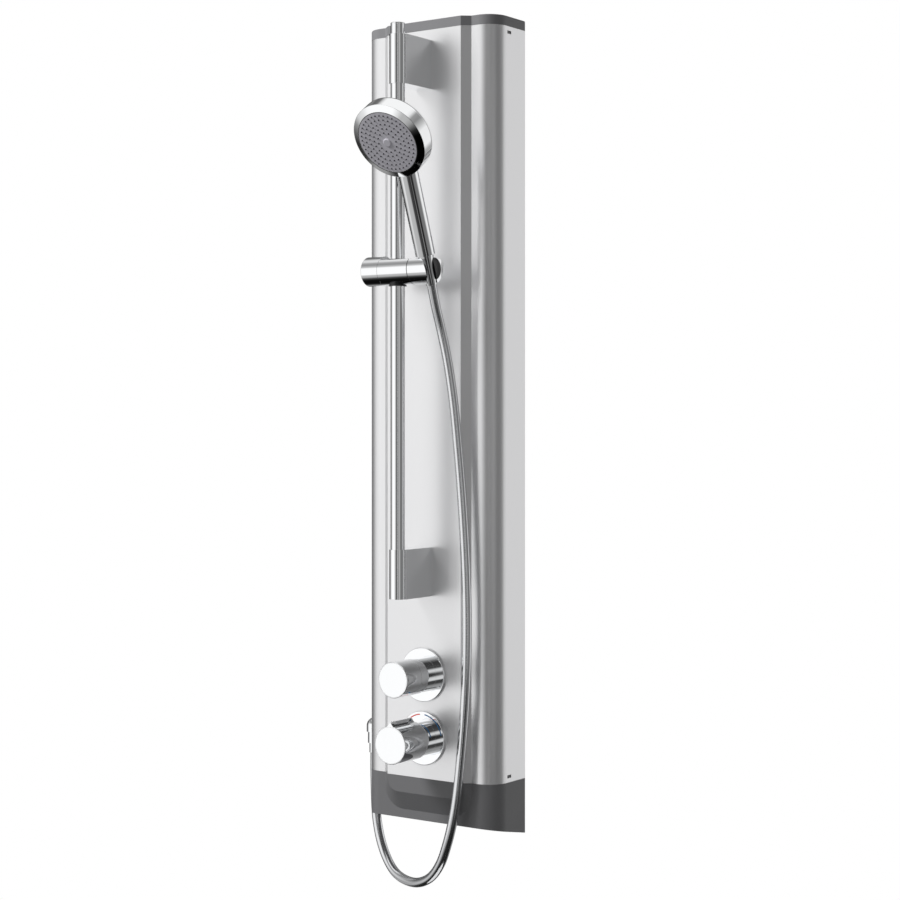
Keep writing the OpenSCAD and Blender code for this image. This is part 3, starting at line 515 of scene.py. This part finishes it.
TURNED_BRASS = Machined("turned_brass", "#D2B26C", 1.0, 0.22, 0.2)
DRAWN_COPPER = Machined("drawn_copper_tube", "#C98463", 1.0, 0.24, 0.1, line_mm=(60.0, 0.8, 0.8))
CLEAR_SKIN = {"Coat Weight": 0.5, "Coat Roughness": 0.04}
SILVER_PVC = HoseSkin("smooth_silver_pvc_hose", "#E9EAEC", 0.92, 0.13, 0.0, CLEAR_SKIN)


def dress(finish: Finish, *names: str) -> None:
    """Gives CAD nodes a finish.

    Args:
        finish: The finish.
        names: The nodes' names.
    """
    for name in names:
        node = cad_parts[name]
        for place in node.material_slots:
            place.material = finish.material()
        log.info("%s: %s", name, finish.name)


def mesh_piece(
    name: str,
    points: Sequence[Sequence[float]],
    faces: Sequence[Sequence[int]],
    finish: Finish,
    flat: Sequence[int] = (),
) -> bpy.types.Object:
    """Makes a smooth mesh object in the CAD's frame.

    Args:
        name: The piece's name.
        points: Its points in metres.
        faces: Its faces, each a list of point numbers that turns left seen from outside.
        finish: Its finish.
        flat: Numbers of the faces that stay flat.

    Returns:
        The object, linked to the scene.
    """
    mesh = bpy.data.meshes.new(name)
    mesh.from_pydata([tuple(p) for p in points], [], [tuple(f) for f in faces])
    mesh.polygons.foreach_set("use_smooth", [k not in set(flat) for k in range(len(faces))])
    mesh.materials.append(finish.material())
    mesh.update()
    rims = {tuple(sorted(pair)) for k in flat for pair in mesh.polygons[k].edge_keys}
    mesh.edges.foreach_set("use_edge_sharp", [tuple(sorted(edge.key)) in rims for edge in mesh.edges])
    piece = bpy.data.objects.new(name, mesh)
    bpy.context.scene.collection.objects.link(piece)
    return piece


@dataclass
class PhotoCamera:
    """The photograph's camera, which is level.

    Attributes:
        place: Its place in metres.
        turn_deg: Its turn to the left from straight on.
        lens_mm: Focal length.
        film_mm: Width of the film.
        shift_up: How far the lens is shifted up, or down below 0, as a share of the film's width.
    """

    place: tuple[float, float, float] = (1.6858, -2.3906, -0.01446)
    turn_deg: float = 35.45
    lens_mm: float = 77.2
    film_mm: float = 36.0
    shift_up: float = -0.0397

    def build(self) -> None:
        """Makes the camera and hands it to the scene."""
        data = bpy.data.cameras.new("photo_camera")
        data.lens, data.sensor_width, data.shift_y = self.lens_mm, self.film_mm, self.shift_up
        camera = bpy.data.objects.new("photo_camera", data)
        camera.location = self.place
        camera.rotation_euler = (math.radians(90), 0.0, math.radians(self.turn_deg))
        bpy.context.scene.collection.objects.link(camera)
        bpy.context.scene.camera = camera


@dataclass
class HoseStage:
    """One stretch of the hose, between two bodies that one joint joins.

    Attributes:
        name: The piece's name.
        long: Its least length in metres, or more than is left for the last stretch.
        above: The body at its upper end.
        below: The body at its lower end.
        bend_end: The point towards which it would bend, or None for its own lower end; it is not used.
        with_nodes: The CAD nodes on it.
    """

    name: str
    long: float
    above: Body
    below: Body
    bend_end: tuple[float, float, float] | None = None
    with_nodes: tuple[str, ...] = ()


@dataclass
class Hose:
    """The shower hose, from the cone nut round to the ferrule below the elbow.

    The route is the CAD's, and the tube is cut into stretches, one for each joint between two bodies.
    The uppermost two are short, close below the nut.

    Attributes:
        diameter: Its outer diameter.
        least_diameters: A stretch of fewer diameters is kept in a list with the nodes on it.
        sides: How many sides the tube has.
        steps: How many rings lie between two points of the route.
        route_mm: The route from the cone nut to the ferrule, through which the tube's middle runs.
        first_way: Its direction out of the cone nut.
        last_way: Its direction into the ferrule.
        stages: Its stretches from the nut down.
    """

    diameter: float = 0.0142
    least_diameters: float = 6.0
    sides: int = 28
    steps: int = 16
    route_mm: tuple[tuple[float, float, float], ...] = (
        (55, -145.497, 172.012), (55, -135, 140), (57, -124, 105), (61, -114, 60), (65, -106, 5),
        (70, -102, -60), (76, -100, -135), (81, -99, -215), (84, -99, -290), (84, -99, -360),
        (81, -99, -430), (75, -99, -500), (67, -99, -565), (57, -97, -610), (44, -93, -646),
        (28, -87, -676), (5, -79, -700), (-25, -69, -714), (-56, -58, -717), (-84, -48, -711),
        (-106, -40, -694), (-122, -35, -668), (-132, -32, -635), (-136, -30, -600),
        (-137, -30, -565), (-137, -30, -535.8),
    )  # fmt: skip
    first_way: tuple[float, float, float] = (0.0, 0.34202, -0.93969)
    last_way: tuple[float, float, float] = (0.0, 0.0, 1.0)
    stages: tuple[HoseStage, ...] = (
        HoseStage("hose_at_nut", 0.015, Body.HOSE_NUT, Body.HOLDER, with_nodes=("hose_cone_nut",)),
        HoseStage("hose_below_holder", 0.03, Body.HOLDER, Body.SLIDER),
        HoseStage("hose_below_slider", 0.1, Body.SLIDER, Body.CARRIAGE, (0.063, -0.110, 0.045)),
        HoseStage(
            "hose_loop",
            2.0,
            Body.CARRIAGE,
            Body.PANEL,
            (-0.289, -0.107, -0.098),
            ("hose_ferrule", "hose_washer", "hose_lower_nut"),
        ),
    )

    def centres(self) -> list[Vector]:
        """Gives the points down the middle of the tube.

        Returns:
            The points in metres, from the cone nut to the ferrule.
        """
        route = [Vector(p) * MM for p in self.route_mm]
        last = len(route) - 1
        points = []
        for k in range(last):
            before, start, end, after = route[max(k - 1, 0)], route[k], route[k + 1], route[min(k + 2, last)]
            for j in range(self.steps):
                t = j / self.steps
                bend = (2 * before - 5 * start + 4 * end - after) + t * (3 * start - before - 3 * end + after)
                points.append(start + t / 2 * ((end - before) + t * bend))
        return [*points, route[last]]

    def ways(self, centres: Sequence[Vector]) -> list[Vector]:
        """Gives the tube's direction at each middle point, and the nut's and the ferrule's at its ends."""
        inner = [(centres[k + 1] - centres[k - 1]).normalized() for k in range(1, len(centres) - 1)]
        return [Vector(self.first_way), *inner, Vector(self.last_way)]

    def build(self) -> None:
        centres = self.centres()
        ways = self.ways(centres)
        side = (Vector((1.0, 0.0, 0.0)) - ways[0] * ways[0].x).normalized()
        radius = self.diameter / 2
        turns = [2 * math.pi * j / self.sides for j in range(self.sides)]
        rings, along = [], [0.0]
        for k, (centre, way) in enumerate(zip(centres, ways, strict=True)):
            side = (side - side.dot(way) * way).normalized()
            other = way.cross(side)
            rings.append([centre + radius * (math.cos(a) * side + math.sin(a) * other) for a in turns])
            if k:
                along.append(along[-1] + (centre - centres[k - 1]).length)
        log.info("hose: %.3f m", along[-1])
        start, carried = 0, []
        for stage in self.stages:
            end = next((k for k, s in enumerate(along) if s >= along[start] + stage.long), len(along) - 1)
            span = slice(start, end + 1)
            piece = self.stretch(stage, rings[span], along[span])
            carried += [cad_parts[name] for name in stage.with_nodes]
            if stage.long < self.least_diameters * self.diameter:
                carried.append(piece)
            else:
                carried = []
            start = end

    def stretch(
        self,
        stage: HoseStage,
        rings: Sequence[Sequence[Vector]],
        along: Sequence[float],
    ) -> bpy.types.Object:
        """Makes one stretch of the tube.

        Args:
            stage: The stretch's name, bodies and the nodes that go with it.
            rings: The points round each middle point.
            along: How far down the hose each ring is, in metres.

        Returns:
            The stretch.
        """
        n, last = self.sides, len(rings) - 1
        faces = [
            (k * n + j, k * n + (j + 1) % n, (k + 1) * n + (j + 1) % n, (k + 1) * n + j)
            for k in range(last)
            for j in range(n)
        ]
        caps = [tuple(reversed(range(n))), tuple(range(last * n, last * n + n))]
        piece = mesh_piece(
            stage.name,
            [p for ring in rings for p in ring],
            [*faces, *caps],
            SILVER_PVC,
            (len(faces), len(faces) + 1),
        )
        turns = piece.data.uv_layers.new(name="turns_and_metres")
        for face in piece.data.polygons:
            for corner in face.loop_indices:
                ring, j = divmod(piece.data.loops[corner].vertex_index, n)
                wrapped = n if j == 0 and face.index % n == n - 1 else j
                turns.data[corner].uv = (wrapped / n, along[ring])
        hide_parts("shower_hose")
        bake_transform(piece)
        bodies = (stage.above.value, stage.below.value)
        log.info("%s: %.3f m from %s to %s", stage.name, along[-1] - along[0], *bodies)
        return piece


@dataclass
class WallPanel:
    """The aluminium front with its two end pieces and its brackets on the wall."""

    def dress(self) -> None:
        """Gives the panel's nodes their finishes."""
        dress(SATIN_ALUMINIUM, "front_panel")
        dress(GREY_ABS, "top_cap", "bottom_cover")
        dress(ZINC_STEEL, "upper_wall_bracket", "lower_wall_bracket")


@dataclass
class SlideRail:
    """The rail, the two blocks and sleeves that hold it, and their screws and plates."""

    def dress(self) -> None:
        """Gives the rail's nodes their finishes."""
        dress(CHROMED_STEEL, "slide_rail", "upper_rail_sleeve", "lower_rail_sleeve")
        dress(CHROMED_ABS, "rail_end_plugs", "upper_rail_bracket", "lower_rail_bracket")
        dress(ZINC_STEEL, "rail_backing_plates", "rail_bracket_screws")


@dataclass
class Slider:
    """The cross piece on the rail, its clamping grip and the tilting socket."""

    def dress(self) -> None:
        """Gives the slider's nodes their finishes."""
        dress(CHROMED_ABS, "slider_body", "clamp_grip", "holder_sleeve")
        dress(DARK_POM, "slider_bush", "clamp_shoe", "holder_insert")
        dress(ZINC_STEEL, "clamp_screw", "holder_axle", "axle_pin")
        dress(BLACK_RUBBER, "friction_washer")


@dataclass
class HandShower:
    """The hand shower with its spray face."""

    def dress(self) -> None:
        """Gives the hand shower's nodes their finishes."""
        dress(CHROMED_ABS, "handset_body", "head_ring")
        dress(FACE_ABS, "spray_face", "face_boss")
        dress(NOZZLE_SILICONE, "spray_nozzles")
        dress(TURNED_BRASS, "inlet_spigot")
        dress(BLACK_RUBBER, "spigot_seal")
        dress(CHROMED_BRASS, "hose_cone_nut")


@dataclass
class Waterways:
    """The mixer behind the panel, its inlets, and the outlet at the left of the bottom cover."""

    def dress(self) -> None:
        """Gives the waterways' nodes their finishes."""
        dress(CHROMED_BRASS, "hose_ferrule", "hose_lower_nut", "outlet_elbow")
        dress(CHROMED_BRASS, "hot_inlet_nut", "cold_inlet_nut")
        dress(BLACK_RUBBER, "hose_washer", "elbow_gasket", "inlet_strainers")
        dress(TURNED_BRASS, "elbow_back_nut", "outlet_pipe_nut")
        dress(DRAWN_COPPER, "outlet_pipe")
        dress(CAST_BRASS, "mixer_body")
        dress(RED_ABS, "hot_check_valve")
        dress(BLUE_ABS, "cold_check_valve")


@dataclass
class Controls:
    """The volume and temperature knobs, and the scale on the lower rosette.

    Attributes:
        centre: The temperature knob's axis where it meets the face of its rosette.
        scale_r: Radius of the scale's middle line.
        scale_w: Width of its line.
        scale_t: Height of its line above the rosette.
        warm_deg: Where the red line starts and ends, clockwise from the top.
        cold_deg: Where the blue line starts and ends.
        end_turns_deg: Turns round a line's round end at which it has a section.
        section_deg: How far apart its other sections are.
        least_sections: The fewest steps along it.
    """

    centre: tuple[float, float, float] = (0.0, -0.094, -0.4925)
    scale_r: float = 0.0352
    scale_w: float = 0.0017
    scale_t: float = 0.00012
    warm_deg: tuple[float, float] = (-40.0, -6.0)
    cold_deg: tuple[float, float] = (7.0, 79.0)
    end_turns_deg: tuple[float, ...] = (4.0, 25.0, 50.0, 75.0)
    section_deg: float = 2.0
    least_sections: int = 12

    def dress(self) -> None:
        """Gives the controls' nodes their finishes."""
        dress(CHROMED_STEEL, "volume_rosette", "temperature_rosette")
        dress(CHROMED_BRASS, "volume_sleeve", "volume_collar", "temperature_sleeve")
        dress(CHROMED_ZINC, "volume_knob", "temperature_knob")
        dress(CHROMED_ABS, "volume_knob_cap", "temperature_knob_cap", "temperature_stop_button")
        dress(DARK_POM, "volume_cartridge", "thermostat_cartridge")
        dress(TURNED_BRASS, "volume_spindle", "thermostat_spindle")

    def arc(self, name: str, span: tuple[float, float], finish: Finish) -> None:
        """Lays one coloured line of the scale on the rosette, with round ends.

        Args:
            name: The piece's name.
            span: Where it starts and ends in degrees, clockwise from the top.
            finish: Its finish.
        """
        x, y, z = self.centre
        half = self.scale_w / 2
        end = math.degrees(half / self.scale_r)
        steps = max(self.least_sections, int(abs(span[1] - span[0]) / self.section_deg))
        turns = [math.radians(t) for t in self.end_turns_deg]
        rounding = [((1 - math.cos(t)) * end, math.sin(t)) for t in turns]
        low, high = span[0] + end, span[1] - end
        sections = [(span[0] + inset, share) for inset, share in rounding]
        sections += [(low + (high - low) * k / steps, 1.0) for k in range(steps + 1)]
        sections += [(span[1] - inset, share) for inset, share in reversed(rounding)]
        points = []
        for angle, share in sections:
            turn = math.radians(angle)
            for r in (self.scale_r - half * share, self.scale_r + half * share):
                for depth in (y, y - self.scale_t):
                    points.append((x + r * math.sin(turn), depth, z + r * math.cos(turn)))
        faces: list[tuple[int, ...]] = []
        for k in range(len(sections) - 1):
            a, b = 4 * k, 4 * (k + 1)
            faces += [
                (a + 1, a + 3, b + 3, b + 1),
                (a, b, b + 2, a + 2),
                (a, a + 1, b + 1, b),
                (a + 2, b + 2, b + 3, a + 3),
            ]
        last = 4 * (len(sections) - 1)
        faces += [(0, 2, 3, 1), (last, last + 1, last + 3, last + 2)]
        piece = mesh_piece(name, points, faces, finish, range(len(faces)))
        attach(piece, Body.PANEL.value)
        log.info("%s: %.0f to %.0f degrees", name, *span)

    def build(self) -> None:
        """Makes the two coloured lines of the temperature scale."""
        self.arc("scale_warm", self.warm_deg, RED_ABS)
        self.arc("scale_cold", self.cold_deg, BLUE_ABS)


@dataclass
class Lamp:
    """A soft square lamp that lights surfaces and isn't mirrored in them.

    Attributes:
        name: Its name.
        place: Its place in metres.
        aim: The point that it faces.
        size: The length of its side.
        watts: Its power.
    """

    name: str
    place: tuple[float, float, float]
    aim: tuple[float, float, float]
    size: float
    watts: float

    def build(self) -> None:
        """Makes the lamp."""
        data = bpy.data.lights.new(self.name, "AREA")
        data.shape, data.size, data.energy = "SQUARE", self.size, self.watts
        lamp = bpy.data.objects.new(self.name, data)
        lamp.location = self.place
        lamp.rotation_euler = (Vector(self.aim) - Vector(self.place)).to_track_quat("-Z", "Y").to_euler()
        lamp.visible_glossy = False
        lamp.visible_transmission = False
        bpy.context.scene.collection.objects.link(lamp)


@dataclass
class Studio:
    """The light: a white room whose screens polished metal mirrors, and soft lamps.

    Angles go round the object in degrees, 0 in front and 90 to its right. Heights are the sine of
    the angle above the horizon.

    Attributes:
        level: Brightness of the room by angle, at the height of the object.
        strips: Brightness of the short upright screen at the right by angle.
        below: Brightness by angle, looking down at the room.
        over: Brightness by angle, looking up at the room.
        heights: How much of the level, below and over brightness and of the ceiling each height shows.
        strip_ends: How much of that screen each height shows.
        ceiling: Brightness of the ceiling.
        ambient: Brightness of the room for matt surfaces.
        floor_z: Height of the floor.
        floor_r: Radius of the floor.
        floor_sides: How many sides its rim has.
        fade_share: Share of the radius at which it starts to fade to white.
        floor_white: How white it is inside that.
        lamps: The soft lamps.
    """

    level: tuple[tuple[float, float], ...] = (
        (-180, 0.35), (-160, 0.25), (-140, 0.08), (-125, 0.04), (-100, 0.03), (-90, 0.14), (-80, 0.28),
        (-70, 0.66), (-60, 0.78), (-52, 0.98), (-44, 1.03), (-12, 1.03), (-8, 0.85), (0, 0.47), (8, 0.35),
        (16, 0.14), (24, 0.04), (28.5, 0.02), (29.5, 0.68), (35, 0.64), (36.5, 0.02), (74, 0.02), (82, 0.18),
        (110, 0.18), (118, 0.35), (128, 0.86), (158, 0.88), (168, 0.40), (180, 0.35),
    )  # fmt: skip
    strips: tuple[tuple[float, float], ...] = (
        (-180, 0.0), (43, 0.0), (45, 0.40), (66, 0.40), (74, 0.20), (80, 0.0), (180, 0.0),
    )  # fmt: skip
    below: tuple[tuple[float, float], ...] = (
        (-180, 0.30), (-120, 0.30), (-90, 0.45), (-60, 0.52), (5, 0.48), (18, 0.06), (50, 0.03), (52, 0.40),
        (56, 0.40), (58, 0.03), (130, 0.03), (160, 0.40), (180, 0.35),
    )  # fmt: skip
    over: tuple[tuple[float, float], ...] = (
        (-180, 0.20), (-120, 0.27), (-90, 0.43), (-60, 0.54), (-20, 0.58), (-7, 0.25), (2, 0.08), (60, 0.05),
        (100, 0.03), (130, 0.55), (160, 0.80), (180, 0.45),
    )  # fmt: skip
    heights: tuple[tuple[float, tuple[float, float, float, float]], ...] = (
        (-1.0, (0.0, 0.0, 0.0, 0.0)), (-0.76, (0.0, 0.01, 0.0, 0.0)), (-0.67, (0.0, 0.12, 0.0, 0.0)),
        (-0.55, (0.0, 0.9, 0.0, 0.0)), (-0.43, (0.0, 1.0, 0.0, 0.0)), (-0.34, (1.0, 0.0, 0.0, 0.0)),
        (0.3, (1.0, 0.0, 0.0, 0.0)), (0.42, (0.0, 0.0, 1.0, 0.0)), (0.6, (0.0, 0.0, 0.5, 0.0)),
        (0.72, (0.0, 0.0, 0.7, 0.0)), (0.8, (0.0, 0.0, 1.0, 0.4)), (0.86, (0.0, 0.0, 0.0, 1.0)),
        (1.0, (0.0, 0.0, 0.0, 1.0)),
    )  # fmt: skip
    strip_ends: tuple[tuple[float, float], ...] = (
        (-1.0, 0.0), (-0.22, 0.0), (-0.16, 1.0), (0.21, 1.0), (0.27, 0.0),
    )  # fmt: skip
    ceiling: float = 0.95
    ambient: float = 0.2
    floor_z: float = -1.5
    floor_r: float = 0.34
    floor_sides: int = 96
    fade_share: float = 0.3
    floor_white: float = 0.75
    lamps: tuple[Lamp, ...] = (
        Lamp("key_lamp", (-1.3, -1.5, 1.7), (0.0, -0.1, 0.2), 1.0, 77.0),
        Lamp("fill_lamp", (1.4, -2.2, 0.6), (0.0, -0.1, -0.1), 1.4, 5.0),
    )

    def spread(
        self,
        tree: bpy.types.NodeTree,
        value: bpy.types.NodeSocket,
        low: float,
        high: float,
        table: Sequence[tuple[float, Any]],
    ) -> bpy.types.Node:
        """Looks a value up in a table of levels or colours.

        Args:
            tree: The world's node tree.
            value: The value to look up.
            low: The value where the table starts.
            high: The value where the table ends.
            table: Pairs of a value and a level, or a value and a colour.

        Returns:
            The ramp that gives the level or the colour.
        """
        share = put(tree, "ShaderNodeMapRange", {"Value": value, "From Min": low, "From Max": high})
        stops = [
            ((place - low) / (high - low), grey(level) if isinstance(level, float) else level)
            for place, level in table
        ]
        return put(tree, "ShaderNodeValToRGB", {"Fac": share.outputs["Result"]}, stops)

    def mirrored(self, tree: bpy.types.NodeTree) -> bpy.types.NodeSocket:
        """Builds the screens that polished metal mirrors.

        Args:
            tree: The world's node tree.

        Returns:
            The brightness of the room in every direction.
        """
        where = put(tree, "ShaderNodeTexCoord")
        axes = put(tree, "ShaderNodeSeparateXYZ", {"Vector": where.outputs["Generated"]})
        out = put(tree, "ShaderNodeMath", {0: axes.outputs["Y"], 1: -1.0}, operation="MULTIPLY")
        turn = put(tree, "ShaderNodeMath", {0: axes.outputs["X"], 1: out.outputs[0]}, operation="ARCTAN2")
        angle = put(tree, "ShaderNodeMath", {0: turn.outputs[0]}, operation="DEGREES").outputs[0]
        bands = put(
            tree,
            "ShaderNodeCombineXYZ",
            {
                axis: self.spread(tree, angle, -180, 180, table).outputs["Color"]
                for axis, table in (("X", self.level), ("Y", self.below), ("Z", self.over))
            },
        )
        shares = self.spread(tree, axes.outputs["Z"], -1, 1, self.heights)
        seen = put(
            tree,
            "ShaderNodeVectorMath",
            {0: bands.outputs["Vector"], 1: shares.outputs["Color"]},
            operation="DOT_PRODUCT",
        )
        topped = put(
            tree,
            "ShaderNodeMath",
            {0: shares.outputs["Alpha"], 1: self.ceiling, 2: seen.outputs["Value"]},
            operation="MULTIPLY_ADD",
        )
        strips = self.spread(tree, angle, -180, 180, self.strips)
        ends = self.spread(tree, axes.outputs["Z"], -1, 1, self.strip_ends)
        whole = put(
            tree,
            "ShaderNodeMath",
            {0: strips.outputs["Color"], 1: ends.outputs["Color"], 2: topped.outputs[0]},
            operation="MULTIPLY_ADD",
        )
        return whole.outputs[0]

    def reflected(self, tree: bpy.types.NodeTree, path: bpy.types.Node) -> bpy.types.NodeSocket:
        """Tells the light that a mirror or clear surface passes on from the light on matt ones.

        Args:
            tree: The node tree that asks.
            path: Its light path node.

        Returns:
            1 where a glossy or a clear surface sees this, or else 0.
        """
        seen = put(
            tree,
            "ShaderNodeMath",
            {0: path.outputs["Is Glossy Ray"], 1: path.outputs["Is Transmission Ray"]},
            operation="MAXIMUM",
        )
        return seen.outputs[0]

    def room(self) -> None:
        """Makes the world: white to the camera, screens to mirrors and even light to the rest."""
        world = bpy.data.worlds.new("studio")
        bpy.context.scene.world = world
        world.use_nodes = True
        world.cycles.sampling_method = "NONE"
        tree = world.node_tree
        tree.nodes.clear()
        path = put(tree, "ShaderNodeLightPath")
        lit = put(
            tree,
            "ShaderNodeMix",
            {"Factor": self.reflected(tree, path), 2: self.ambient, 3: self.mirrored(tree)},
        )
        shown = put(
            tree,
            "ShaderNodeMix",
            {"Factor": path.outputs["Is Camera Ray"], 2: lit.outputs[0], 3: 1.0},
        )
        light = put(tree, "ShaderNodeBackground", {"Color": WHITE, "Strength": shown.outputs[0]})
        put(tree, "ShaderNodeOutputWorld", {"Surface": light.outputs["Background"]})

    def floor(self) -> None:
        """Makes the plain pale floor, which keeps the shadow and fades at its rim to the white round it."""
        made = bpy.data.materials.new("pale_studio_floor")
        made.use_nodes = True
        tree = made.node_tree
        tree.nodes.clear()
        matt = put(tree, "ShaderNodeBsdfDiffuse", {"Color": linear("#F4F4F4")})
        white = put(tree, "ShaderNodeEmission", {"Color": WHITE, "Strength": 1.0})
        path = put(tree, "ShaderNodeLightPath")
        where = put(tree, "ShaderNodeTexCoord")
        flat = put(
            tree,
            "ShaderNodeVectorMath",
            {0: where.outputs["Object"], 1: (1 / self.floor_r, 1 / self.floor_r, 0.0)},
            operation="MULTIPLY",
        )
        out = put(tree, "ShaderNodeVectorMath", {0: flat.outputs["Vector"]}, operation="LENGTH")
        fade = put(
            tree,
            "ShaderNodeMapRange",
            {"Value": out.outputs["Value"], "From Min": self.fade_share, "To Min": self.floor_white},
        )
        seen = put(
            tree,
            "ShaderNodeMath",
            {0: self.reflected(tree, path), 1: path.outputs["Is Camera Ray"]},
            operation="MAXIMUM",
        )
        share = put(
            tree,
            "ShaderNodeMath",
            {0: seen.outputs[0], 1: fade.outputs["Result"]},
            operation="MULTIPLY",
        )
        mixed = put(
            tree,
            "ShaderNodeMixShader",
            {"Fac": share.outputs[0], 1: matt.outputs["BSDF"], 2: white.outputs["Emission"]},
        )
        put(tree, "ShaderNodeOutputMaterial", {"Surface": mixed.outputs["Shader"]})
        turns = [2 * math.pi * k / self.floor_sides for k in range(self.floor_sides)]
        points = [(self.floor_r * math.cos(a), self.floor_r * math.sin(a), self.floor_z) for a in turns]
        mesh = bpy.data.meshes.new("studio_floor")
        mesh.from_pydata(points, [], [tuple(range(self.floor_sides))])
        mesh.materials.append(made)
        floor = bpy.data.objects.new("studio_floor", mesh)
        bpy.context.scene.collection.objects.link(floor)

    def build(self) -> None:
        """Makes the room, the floor and the lamps, and sets how colours are shown."""
        self.room()
        self.floor()
        for lamp in self.lamps:
            lamp.build()
        bpy.context.scene.view_settings.view_transform = "Standard"


def main() -> None:
    """Builds the camera, the hose, the finishes and the studio."""
    logging.basicConfig(level=logging.INFO, format="%(name)s: %(message)s")
    PhotoCamera().build()
    Hose().build()
    WallPanel().dress()
    SlideRail().dress()
    Slider().dress()
    HandShower().dress()
    Waterways().dress()
    controls = Controls()
    controls.dress()
    controls.build()
    Studio().build()


if __name__ == "__main__":
    main()
